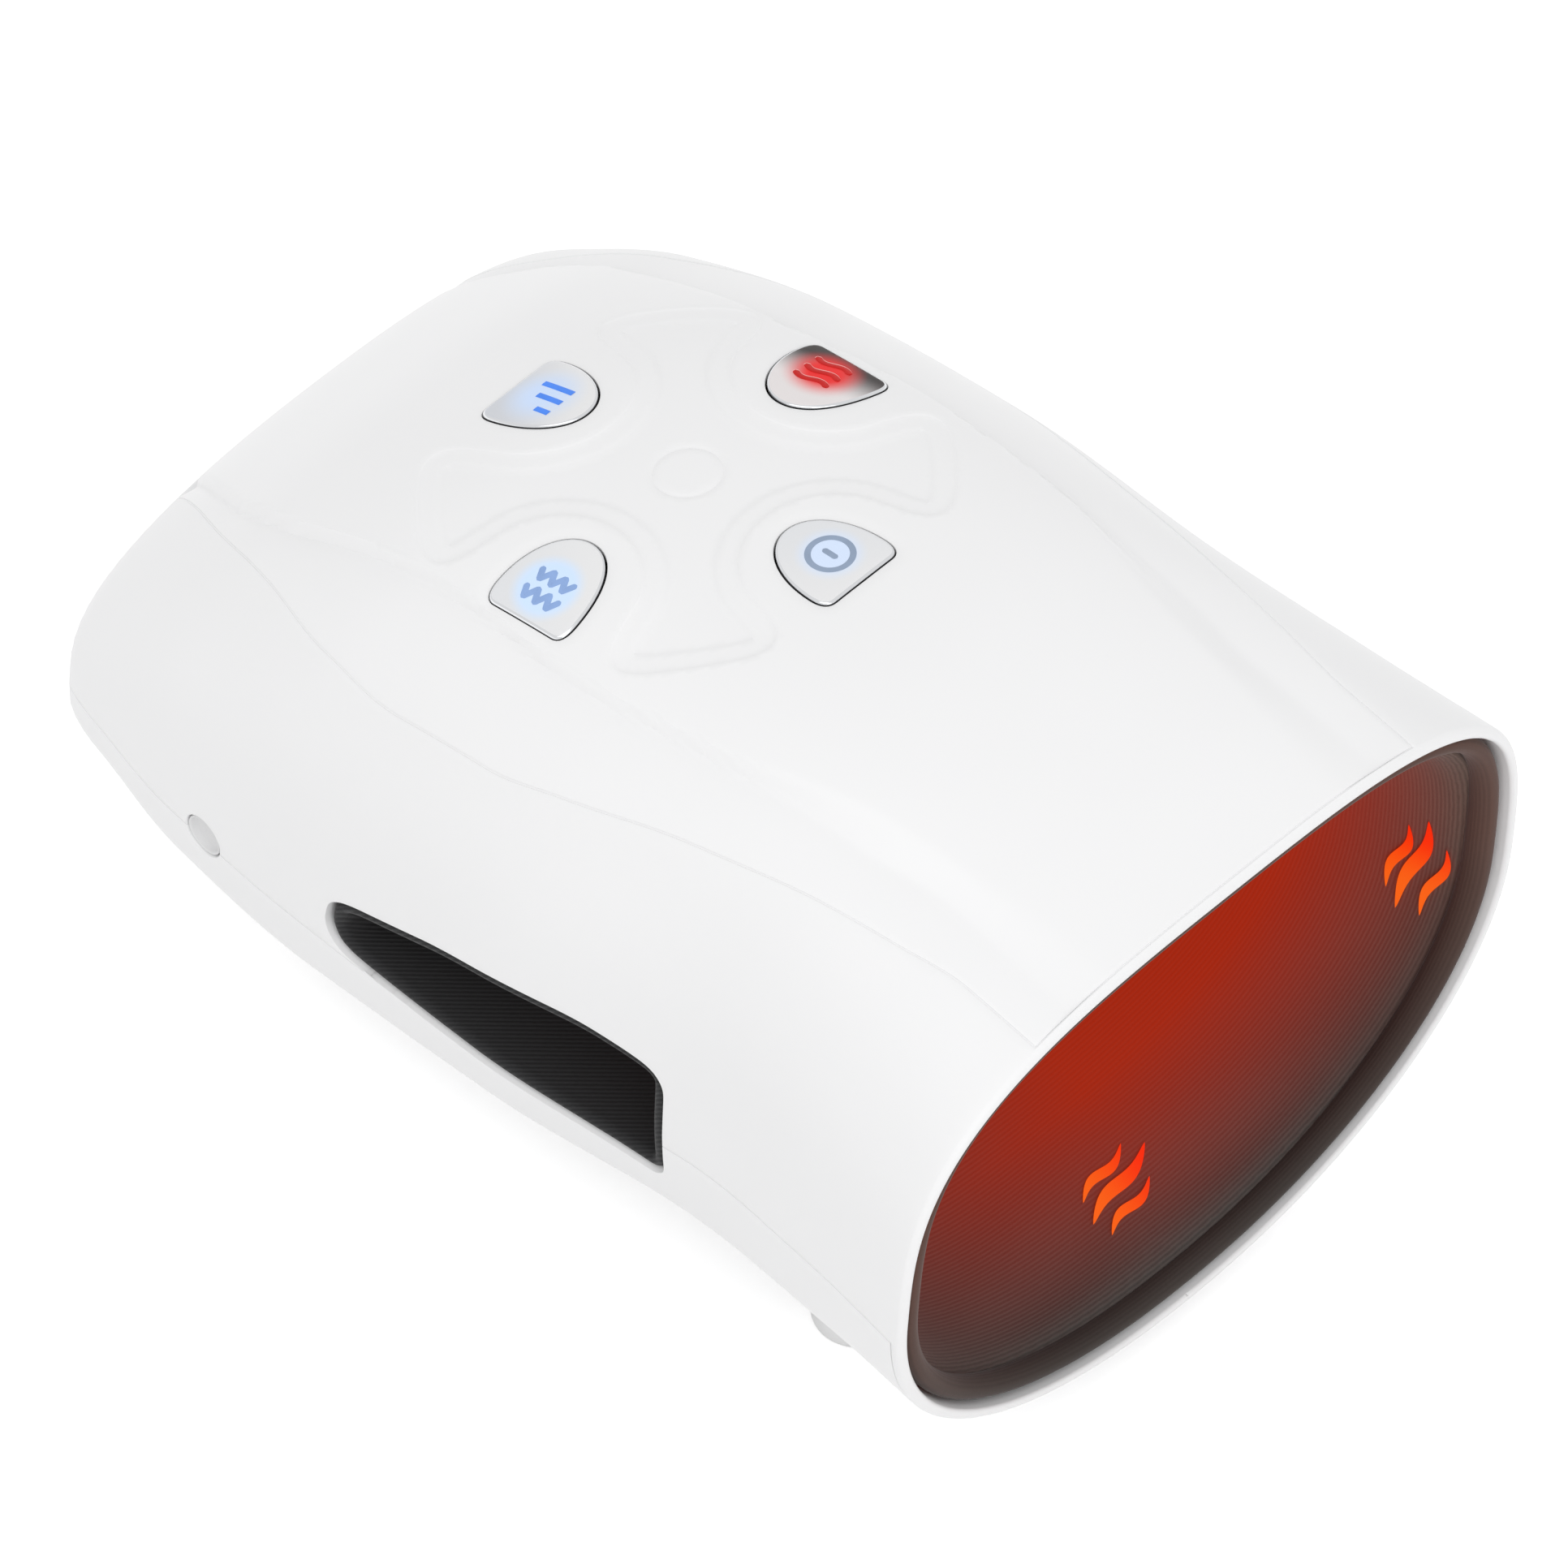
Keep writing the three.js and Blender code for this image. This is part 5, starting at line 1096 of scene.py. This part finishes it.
def foot(x, along):
    """Rubber pad with a rounded edge and a grooved sole; its top follows the base."""
    turns = full_turn(48)

    def place(dx, da, height):
        return (x + dx, MOUTH_Y + along + da, height)

    rows = lathe_rows(FOOT_PROFILE, turns, place)
    top = [(x + FOOT_RADIUS * math.cos(t), MOUTH_Y + along + FOOT_RADIUS * math.sin(t)) for t in turns]
    last = [(px, py, max(under_body(px, py - MOUTH_Y)[0] + FOOT_SUNK, FOOT_LEAST)) for px, py in top]
    return strip(np.concatenate([rows, [last]]), closed_ring=True)


def cavity_place(x, along, upper):
    row = cavity.row(along)
    half = int(np.argmax(row[:, 0]))
    part = slice(0, half + 1) if upper else slice(half, None)
    xs, shares = row[part, 0], cavity.share[part]
    order = np.argsort(xs)
    share = float(np.interp(abs(x), xs[order], shares[order]))
    return math.copysign(share, x if x else 1) * float(cavity.half_arc(along))


def pad(start, end, half, upper, inner, outer, puffed):
    """Bag on the lining: flat welded border, crowned middle with quilted welds."""
    turns = full_turn(96)
    across, down = [np.sign(way) * np.abs(way) ** BAG_CORNERS for way in (np.cos(turns), np.sin(turns))]
    middle, reach = (start + end) / 2, (end - start) / 2
    places, normals, heights = [], [], []
    for share in BAG_RINGS:
        u = middle + reach * share * down
        v = np.array([cavity_place(x, a, upper) for x, a in zip(half * share * across, u)])
        points, normal = cavity.at(u, v)
        crown = smooth_step((BAG_CROWN - share) / BAG_SLOPE) * puffed
        weld = np.abs(np.sin(math.pi * (u - middle) / WELD_PITCH)) ** WELD_POWER if puffed else 1
        places.append(points)
        normals.append(normal)
        heights.append(inner + BAG_RIM + (outer - inner - BAG_RIM) * crown * between((WELD_LEAST, 1), weld))
    places, normals, heights = np.array(places), np.array(normals), np.array(heights)
    outside = places + normals * heights[..., None] if puffed else places + normals * outer
    inside = places + normals * inner
    return strip(np.concatenate([outside[::-1], inside]), closed_ring=True)


# Materials

class Look:
    """Node material with short ways to add textures, ramps and mixes in object space."""

    def __init__(self, name):
        self.made = bpy.data.materials.new(name)
        self.made.use_nodes = True
        self.tree = self.made.node_tree
        self.shader = self.tree.nodes["Principled BSDF"]
        self.place = self.tree.nodes.new("ShaderNodeTexCoord").outputs["Object"]

    def node(self, kind, sockets, **settings):
        node = self.tree.nodes.new(kind)
        for key, value in settings.items():
            setattr(node, key, value)
        for key, value in sockets.items():
            self.feed(node, key, value)
        return node

    def feed(self, node, key, value):
        target = node.inputs[key]
        if isinstance(value, bpy.types.NodeSocket):
            self.tree.links.new(value, target)
        elif target.type == "RGBA":
            target.default_value = (*value, 1)
        else:
            target.default_value = value

    def shade(self, **sockets):
        for key, value in sockets.items():
            self.feed(self.shader, key.replace("_", " "), value)

    def noise(self, scale, detail):
        sockets = {"Vector": self.place, "Scale": scale, "Detail": detail}
        return self.node("ShaderNodeTexNoise", sockets).outputs["Fac"]

    def wave(self, pitch, direction, distortion=0.3, detail=1):
        sockets = {"Vector": self.place, "Scale": math.pi / (10 * pitch * MM), "Distortion": distortion,
                   "Detail": detail, "Detail Scale": 3}
        return self.node("ShaderNodeTexWave", sockets, bands_direction=direction).outputs["Fac"]

    def ramp(self, source, low, high, start=0.0, end=1.0, kind="LINEAR"):
        sockets = {"Value": source, "From Min": low, "From Max": high, "To Min": start, "To Max": end}
        return self.node("ShaderNodeMapRange", sockets, interpolation_type=kind).outputs["Result"]

    def mix(self, factor, first, second):
        node = self.node("ShaderNodeMix", {}, data_type="RGBA")
        for key, value in (("Factor", factor), ("A", first), ("B", second)):
            self.feed(node, key, value)
        return node.outputs["Result"]

    def blend(self, share, first, second):
        return self.node("ShaderNodeMix", {"Factor": share, "A": first, "B": second}).outputs["Result"]

    def math(self, operation, first, second):
        return self.node("ShaderNodeMath", {0: first, 1: second}, operation=operation).outputs[0]

    def product(self, first, second):
        return self.math("MULTIPLY", first, second)

    def scaled(self, color, factor):
        return self.node("ShaderNodeVectorMath", {0: color, "Scale": factor}, operation="SCALE").outputs[0]

    def axis(self, name):
        return self.node("ShaderNodeSeparateXYZ", {"Vector": self.place}).outputs[name]

    def bump(self, height, distance, strength):
        sockets = {"Height": height, "Distance": distance * MM, "Strength": strength}
        self.shade(Normal=self.node("ShaderNodeBump", sockets).outputs["Normal"])

    def near(self, centre, near, far):
        """One near a point, falling to zero further out."""
        sockets = {0: self.place, 1: tuple(c * MM for c in centre)}
        away = self.node("ShaderNodeVectorMath", sockets, operation="DISTANCE").outputs["Value"]
        return self.ramp(away, near * MM, far * MM, 1.0, 0.0, "SMOOTHSTEP")

    def across(self, centre, direction, width):
        """Zero to one along a direction through a point."""
        offset = self.node("ShaderNodeVectorMath", {0: self.place, 1: tuple(c * MM for c in centre)},
                           operation="SUBTRACT").outputs[0]
        dot = self.node("ShaderNodeVectorMath", {0: offset, 1: tuple(direction)}, operation="DOT_PRODUCT")
        return self.ramp(dot.outputs["Value"], -width * MM, width * MM, kind="SMOOTHSTEP")


def tinted(color, factor):
    return tuple(min(1, c * factor) for c in color)


def moulded(name, color, roughness, grain=0.02, scale=900.0, spread=0.02, metallic=0.0, coat=0.0, clear=0.0):
    """Moulded surface: fine grain in the bump, slow variation in colour and roughness."""
    look = Look(name)
    slow = look.noise(14.0, 3.0)
    look.shade(Base_Color=look.mix(slow, tinted(color, 1 - spread), tinted(color, 1 + spread)),
               Roughness=look.ramp(slow, 0.0, 1.0, roughness - 0.04, roughness + 0.04),
               Metallic=metallic, Coat_Weight=coat, Transmission_Weight=clear)
    look.bump(look.noise(scale, 4.0), grain, 0.25)
    return look.made


def fabric(name, low, high, pitch, ribs="Y", contrast=0.15, relief=0.12, glow=None):
    """Knitted ribs with yarn noise and painted shade in the rib grooves, from one colour near the floor to
    another at the top: painted shade low down, painted warm glow up high.
    """
    look = Look(name)
    rib = look.wave(pitch, ribs)
    height = look.blend(0.35, rib, look.noise(1500.0, 5.0))
    # Colour from floor to top: painted shade low down, painted warm glow up high.
    ground = look.mix(look.ramp(look.axis("Z"), FABRIC_LOW * MM, FABRIC_HIGH * MM), low, high)
    # Rib grooves darker as painted shade, times a slow random tone.
    rib_shade_and_tone = look.product(look.ramp(height, 0.0, 1.0, 1 - contrast, 1 + contrast),
                        look.ramp(look.noise(30.0, 2.0), 0.0, 1.0, 0.85, 1.15))
    surface = look.scaled(ground, rib_shade_and_tone)
    if glow:
        surface = add_glow(look, rib, surface, *glow)
    look.shade(Base_Color=surface, Roughness=0.85, Specular_IOR_Level=0.25, Sheen_Weight=0.15,
               Sheen_Roughness=0.4)
    look.bump(height, relief, 0.8)
    return look.made


def add_glow(look, rib, surface, tone, strength, deep_base):
    """Painted warm glow on the fabric that grows inwards from the mouth, weaker to the left and behind the
    palm.
    """
    along = look.axis("Y")
    level = look.ramp(along, *[(MOUTH_Y + a) * MM for a in GLOW_RISE])
    level = look.product(level, look.ramp(along, *[(MOUTH_Y + a) * MM for a in GLOW_FALL], 1.0, 0.1))
    level = look.product(level, look.ramp(look.axis("X"), *[x * MM for x in GLOW_SIDE], 0.28, 1.0))
    power = look.product(level, look.ramp(rib, 0.0, 1.0, 0.96 * strength, 1.04 * strength))
    look.shade(Emission_Color=tone, Emission_Strength=power)
    return look.mix(level, surface, deep_base)


def lit(name, low, high, strength, centre, direction, width, base):
    """Printed mark that glows as painted light, from one colour to another across it; base dims the print."""
    look = Look(name)
    shade = look.across(centre, direction, width)
    look.shade(Emission_Color=look.mix(shade, low, high), Emission_Strength=strength, Roughness=0.4,
               Specular_IOR_Level=0.15, Base_Color=look.mix(shade, tinted(low, base), tinted(high, base)))
    look.bump(look.noise(1200.0, 3.0), 0.01, 0.2)
    return look.made


def ink(name, tone, strength):
    """Lit print of one tone with a slight cloud in it."""
    look = Look(name)
    cloud = look.mix(look.noise(260.0, 2.0), tinted(tone, 0.85), tinted(tone, 1.15))
    look.shade(Base_Color=cloud, Roughness=0.4, Specular_IOR_Level=0.15, Emission_Color=tone,
               Emission_Strength=strength)
    look.bump(look.noise(1200.0, 3.0), 0.01, 0.2)
    return look.made


def cap_material(name, light, dark, direction, width, painted_light_pool, glow, strength, reach, offset):
    """Satin silver with a painted reflection that darkens along a direction, and a painted pool and glow of
    the icon's light round the icon.
    """
    look = Look(name + "_cap")
    x0, y0, _ = BUTTONS[name]
    lift = PANEL_UP * float(skin_lift(np.array([(x0, y0)], float))[0])
    centre = on_panel([(x0 + offset[0], y0 + offset[1])])[0] + lift
    way = direction[0] * np.array([1, 0, 0]) + direction[1] * PANEL_Y
    # fade: painted pool and painted glow of the icon's light on the face near the icon.
    fade = look.near(centre, *reach)
    # Light to dark across the face: a painted reflection.
    painted_reflection = look.mix(look.across(on_panel([(x0, y0)])[0], way, width), light, dark)
    fine = look.noise(1400.0, 3.0)
    look.shade(Base_Color=look.mix(fade, painted_reflection, painted_light_pool), Roughness=look.ramp(fine, 0.0, 1.0, 0.3, 0.42),
               Specular_IOR_Level=0.35, Metallic=0.1, Emission_Color=glow,
               Emission_Strength=look.product(fade, strength))
    look.bump(fine, 0.01, 0.15)
    return look.made


def brushed(name, color, roughness, direction="X"):
    """Turned or drawn metal with fine lines."""
    look = Look(name)
    lines = look.wave(0.5, direction, 4.0, 3)
    look.shade(Base_Color=look.mix(lines, tinted(color, 0.85), color), Metallic=1.0,
               Roughness=look.ramp(lines, 0.0, 1.0, roughness - 0.08, roughness + 0.1))
    return look.made


def circuit(name, mask, copper):
    """Board with solder mask over square copper runs."""
    look = Look(name)
    cells = look.node("ShaderNodeTexVoronoi", {"Vector": look.place, "Scale": 230.0}, distance="MANHATTAN")
    runs = look.ramp(look.math("PINGPONG", cells.outputs["Distance"], 0.12), 0.06, 0.075)
    look.shade(Base_Color=look.mix(runs, mask, copper), Roughness=0.35)
    look.bump(runs, 0.04, 0.4)
    return look.made


def printed_lines(name, ground, line, pitch):
    """Film with a heating track printed on it."""
    look = Look(name)
    track = look.ramp(look.wave(pitch, "Y", 0.0), 0.5, 0.56)
    look.shade(Base_Color=look.mix(track, ground, line),
               Roughness=look.ramp(look.noise(300.0, 4.0), 0.0, 1.0, 0.25, 0.5))
    look.bump(track, 0.03, 0.4)
    return look.made


FABRIC_LOW, FABRIC_HIGH = 15.0, 75.0
GLOW_RISE, GLOW_FALL, GLOW_SIDE = (6, 36), (60, 85), (-52, 10)
white_shell = moulded("white_shell", (0.86, 0.86, 0.865), 0.38)
white_cover = moulded("white_cover", (0.87, 0.87, 0.875), 0.34)

# Pieces

def finished(piece, body_name, slot, materials, *nodes):
    for one in materials:
        piece.data.materials.append(one)
    if nodes:
        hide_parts(*nodes)
    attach(piece, body_name)
    return piece


seams = [ribbon(lower_curve(0, side, LIP_DEPTH), False) for side in (1, -1)]
SHELLS = {
    "upper_housing": (joined(housing(), cover_ribbon(), *seams), white_shell, "white_shell"),
    "top_cover": (cover(), white_cover, "white_cover"), "lower_base": (base(), white_shell, "white_shell"),
}
for name, (shape, white, slot) in SHELLS.items():
    finished(make_mesh(name + "_skin", *shape, merge=0.004, sharp=40), "massager", slot, [white], name)

chrome = moulded("chrome_edge", (0.78, 0.79, 0.81), 0.14, grain=0.004, metallic=1.0)
# Painted red glow of the lining: tone, strength and the darker base under it.
GLOW = ((1.0, 0.042, 0.004), 0.35, (0.016, 0.006, 0.003))
# Lining colour near the floor and at the top: painted shade low, painted warm glow high.
CLOTH_LOW, CLOTH_HIGH = (0.072, 0.060, 0.055), (0.125, 0.078, 0.062)
lining_fabric = fabric("lining_fabric", CLOTH_LOW, CLOTH_HIGH, 0.7, contrast=0.3, glow=GLOW)
# Rim colour near the floor and at the top: painted shade low, painted warm glow high.
RIM_LOW, RIM_HIGH = (0.045, 0.036, 0.032), (0.10, 0.052, 0.040)
rim_fabric = fabric("rim_fabric", RIM_LOW, RIM_HIGH, 0.7, contrast=0.12, relief=0.05)
SLEEVE_TONE = (0.024, 0.024, 0.025)
sleeve_fabric = fabric("sleeve_fabric", SLEEVE_TONE, SLEEVE_TONE, 0.65, "DIAGONAL", 0.45, 0.2)


lining_piece = finished(make_mesh("lining_fabric", *lining(), merge=0.01), "massager", "dark_fabric",
                        [lining_fabric], "lining_upper", "lining_lower")
rim_piece = finished(make_mesh("lining_rim_roll", *rim(), merge=0.001), "massager", "dark_fabric",
                     [rim_fabric], "lining_rim")
for side, word in ((1, "right"), (-1, "left")):
    tube = finished(make_mesh("thumb_sleeve_" + word + "_fabric", *sleeve(side)), "massager", "dark_fabric",
                    [sleeve_fabric], "thumb_sleeve_" + word)

MARKS = {"floor": (20.5, 3.0, 5.0, 1.0), "wall": (13.2, 0.0, -1.8, 1.35)}
WALL_MARK_Z, MARK_REACH, ORANGE, RED = 59.5, 8, (1.0, 0.13, 0.005), (1.0, 0.025, 0.0)
for word, (u, w, slant, size) in MARKS.items():
    if word == "wall":
        w = float(cavity.half_arc(u)) - abs(cavity.v_of_z(u, WALL_MARK_Z, 1))
    low, high = (from_floor(np.array([u]), np.array([w + end]))[0][0] for end in (-MARK_REACH, MARK_REACH))
    way = (high - low) / np.linalg.norm(high - low)
    # The flame marks glow as painted light.
    tongues = lit("heat_mark_" + word, ORANGE, RED, 0.85, (high + low) / 2, way, MARK_REACH, 0.15)
    finished(make_mesh("heat_mark_" + word, *heat_mark(u, w, slant, size)), "massager", "heater", [tongues])

# Lit and shaded ends of the painted reflection on the silver caps.
LIT_SATIN, SHADED = (0.82, 0.82, 0.825), (0.76, 0.77, 0.79)
# Per button: lit and dark face of the painted reflection, its direction and width, painted light pool on the
# face, painted glow, strength, reach and offset
LOOKS = {
    "intensity": (LIT_SATIN, (0.64, 0.66, 0.70), (-0.6, 0.8), 9, (0.6, 0.73, 0.96), (0.5, 0.7, 1.0), 0.05,
                  (2.0, 9.0), (0, -1)),
    "mode": (LIT_SATIN, SHADED, (-0.6, 0.8), 11, (0.62, 0.77, 0.98), (0.6, 0.78, 1.0), 0.06,
             (4.5, 7.5), (0.3, 0.2)),
    "power": (LIT_SATIN, SHADED, (0.5, 0.8), 11, (0.66, 0.77, 0.96), (0.6, 0.75, 1.0), 0.05,
              (3.0, 7.0), RING_CENTRE),
    "heat": ((0.80, 0.76, 0.76), (0.03, 0.022, 0.022), (1.0, 0.15), 4.8, (0.5, 0.003, 0.003),
             (1.0, 0.003, 0.003), 0.34, (2.5, 8.2), (-0.2, 0.4)),
}
ICONS = {
    "intensity": (0.075, 0.25, 0.87), "mode": (0.26, 0.39, 0.68), "power": (0.28, 0.35, 0.47),
    "heat": (0.55, 0.012, 0.01),
}
CHROME_WIDTH, ICON_GLOW = 0.34, 0.06
# Near-black skirt under the chrome edge: a painted shadow line round each cap.
skirt_painted_shadow = moulded("skirt_painted_shadow", (0.02, 0.02, 0.022), 0.35, grain=0.01)
for name, settings in LOOKS.items():
    key = make_mesh("button_" + name + "_cap", *cap(name), merge=0.002, sharp=50)
    layers = [cap_material(name, *settings), chrome, skirt_painted_shadow]
    finished(key, name + "_key", "silver_button", layers, "button_" + name)
    mark_edges(key, name, CHROME_WIDTH)
    finished(make_mesh("icon_" + name, *icon(name)), name + "_key", "silver_button",
             [ink(name + "_icon", ICONS[name], ICON_GLOW)])
# Pale copy of the heat waves, shifted a little under the red strokes: a painted highlight on their edges.
outline = make_mesh("icon_heat_painted_highlight", *heat_waves("heat", STROKE_DOME, STROKE_LIFT, HIGHLIGHT_SHIFT))
finished(outline, "heat_key", "silver_button", [ink("heat_painted_highlight", (1.0, 0.5, 0.48), 0.05)])

socket_white = moulded("socket_white", (0.74, 0.74, 0.745), 0.5, spread=0.04)
foot_rubber = moulded("foot_rubber", (0.82, 0.82, 0.82), 0.7, grain=0.05, scale=500, spread=0.04)
bladder = moulded("bladder", (0.07, 0.078, 0.09), 0.45, grain=0.06, scale=350, spread=0.15)
heater_film = printed_lines("heater_print", (0.5, 0.2, 0.05), (0.04, 0.035, 0.035), 4.5)
finished(make_mesh("charge_socket_dish", *socket(), merge=0.001), "massager", "dark_plastic", [socket_white],
         "charge_socket")
for word, (x, along) in FEET.items():
    for side, hand in ((-1, "left"), (1, "right")):
        name = "foot_" + word + "_" + hand
        finished(make_mesh(name + "_pad", *foot(side * x, along), sharp=50), "massager", "foot_rubber",
                 [foot_rubber], name)
for name, (start, end, half, upper) in BAGS.items():
    shape = pad(start, end, half, upper, BAG_INNER, BAG_OUTER, 1)
    bag = finished(make_mesh(name + "_puffed", *shape), "massager", "bladder", [bladder], name)
finished(make_mesh("heater_film_printed", *pad(*HEATER, HEATER_INNER, HEATER_OUTER, 0), sharp=40), "massager",
         "heater", [heater_film], "heater_film")

# Hidden pieces keep their CAD shape and get materials of their own

gray_frame = moulded("gray_frame", (0.33, 0.34, 0.36), 0.5, grain=0.05, scale=400, spread=0.06)
dark_moulding = moulded("dark_moulding", (0.035, 0.036, 0.04), 0.42, grain=0.05, scale=500, spread=0.12)
KEPT = {
    "inner_arch": gray_frame, "inner_tray": gray_frame,
    "battery_holder": dark_moulding, "switch_": dark_moulding,
    "pump_head": dark_moulding, "air_valve_": dark_moulding,
    "pump_eccentric": moulded("cream_moulding", (0.6, 0.56, 0.47), 0.4, spread=0.08),
    "control_board": circuit("control_board", (0.012, 0.10, 0.04), (0.04, 0.22, 0.08)),
    "charge_board": circuit("charge_board", (0.012, 0.06, 0.12), (0.04, 0.13, 0.22)),
    "lamp_": moulded("lamp_lens", (0.85, 0.84, 0.7), 0.25, spread=0.06, coat=0.5),
    "light_guide_": moulded("light_guide", (0.9, 0.93, 0.95), 0.3, clear=0.6),
    "hose_": moulded("hose_silicone", (0.75, 0.76, 0.74), 0.35, clear=0.3),
    "pump_motor": brushed("motor_can", (0.62, 0.63, 0.65), 0.3),
    "valve_plunger_": brushed("plunger_steel", (0.7, 0.7, 0.71), 0.25, direction="Z"),
    "case_screw_": brushed("screw_steel", (0.45, 0.45, 0.47), 0.35, direction="Z"),
    "battery_cell_": moulded("cell_wrap", (0.03, 0.16, 0.36), 0.3, spread=0.1, coat=0.4),
}
for node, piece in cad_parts.items():
    for start, look in KEPT.items():
        if node.startswith(start):
            for slot in piece.material_slots:
                slot.material = look


# Stage, light and camera

def area_light(name, place, side, power):
    light = bpy.data.lights.new(name, "AREA")
    light.size = side
    light.energy = power
    lamp = placed(name, light)
    lamp.location = place
    lamp.rotation_euler = (Vector(LAMP_TARGET) - Vector(place)).to_track_quat("-Z", "Y").to_euler()


LAMP_TARGET, FLOOR_REACH = (0, 0, 0.06), 6
KEY_PLACE, KEY_SIDE, FILL_PLACE, FILL_SIDE = (-0.9, -0.2, 1.6), 1.6, (-0.6, -1.6, 0.8), 1.2
FLOOR_GLOW, WORLD_LIGHT, KEY_POWER, FILL_POWER = 0.45, 0.86, 5, 5


def floor_piece():
    mesh = bpy.data.meshes.new("floor")
    corners = [(x * FLOOR_REACH, y * FLOOR_REACH, 0) for x, y in ((-1, -1), (1, -1), (1, 1), (-1, 1))]
    mesh.from_pydata(corners, [], [(0, 1, 2, 3)])
    look = Look("floor_paper")
    path = look.node("ShaderNodeLightPath", {})
    seen = path.outputs["Is Camera Ray"]
    for other in ("Is Glossy Ray", "Is Transmission Ray"):
        seen = look.math("MAXIMUM", seen, path.outputs[other])
    look.shade(Base_Color=(0.8, 0.8, 0.8), Roughness=0.9, Specular_IOR_Level=0.1, Emission_Color=(1, 1, 1),
               Emission_Strength=look.product(seen, FLOOR_GLOW))
    mesh.materials.append(look.made)
    placed("floor", mesh)


floor_piece()
world = bpy.data.worlds.new("studio")
bpy.context.scene.world = world
world.use_nodes = True
background = world.node_tree.nodes["Background"].inputs
background["Color"].default_value = (1, 1, 1, 1)
background["Strength"].default_value = WORLD_LIGHT
area_light("key", KEY_PLACE, KEY_SIDE, KEY_POWER)
area_light("fill", FILL_PLACE, FILL_SIDE, FILL_POWER)

AZ, EL, ROLL = math.radians(-49.883), math.radians(51.049), math.radians(4.675)
AWAY, CAMERA_TARGET = 4.072, (0, -0.003, 0.048)
PHOTO_SIDE, PIXELS_PER_MM, CENTRE_PIXEL, SENSOR, FAR_CLIP = 1932, 7.004, (931.5, 995.1), 36, 50
back = Vector((math.sin(AZ) * math.cos(EL), -math.cos(AZ) * math.cos(EL), math.sin(EL)))
flat_right = Vector((math.cos(AZ), math.sin(AZ), 0))
flat_up = back.cross(flat_right)
right = math.cos(ROLL) * flat_right + math.sin(ROLL) * flat_up
up = -math.sin(ROLL) * flat_right + math.cos(ROLL) * flat_up
camera = placed("camera", bpy.data.cameras.new("camera"))
turned = Matrix((right, up, back)).transposed().to_4x4()
camera.matrix_world = Matrix.Translation(Vector(CAMERA_TARGET) + back * AWAY) @ turned
camera.data.sensor_width = SENSOR
camera.data.lens = SENSOR * PIXELS_PER_MM * AWAY / MM / PHOTO_SIDE
camera.data.shift_x = (PHOTO_SIDE / 2 - CENTRE_PIXEL[0]) / PHOTO_SIDE
camera.data.shift_y = (CENTRE_PIXEL[1] - PHOTO_SIDE / 2) / PHOTO_SIDE
camera.data.clip_end = FAR_CLIP
bpy.context.scene.camera = camera
bpy.context.scene.view_settings.view_transform = "Standard"
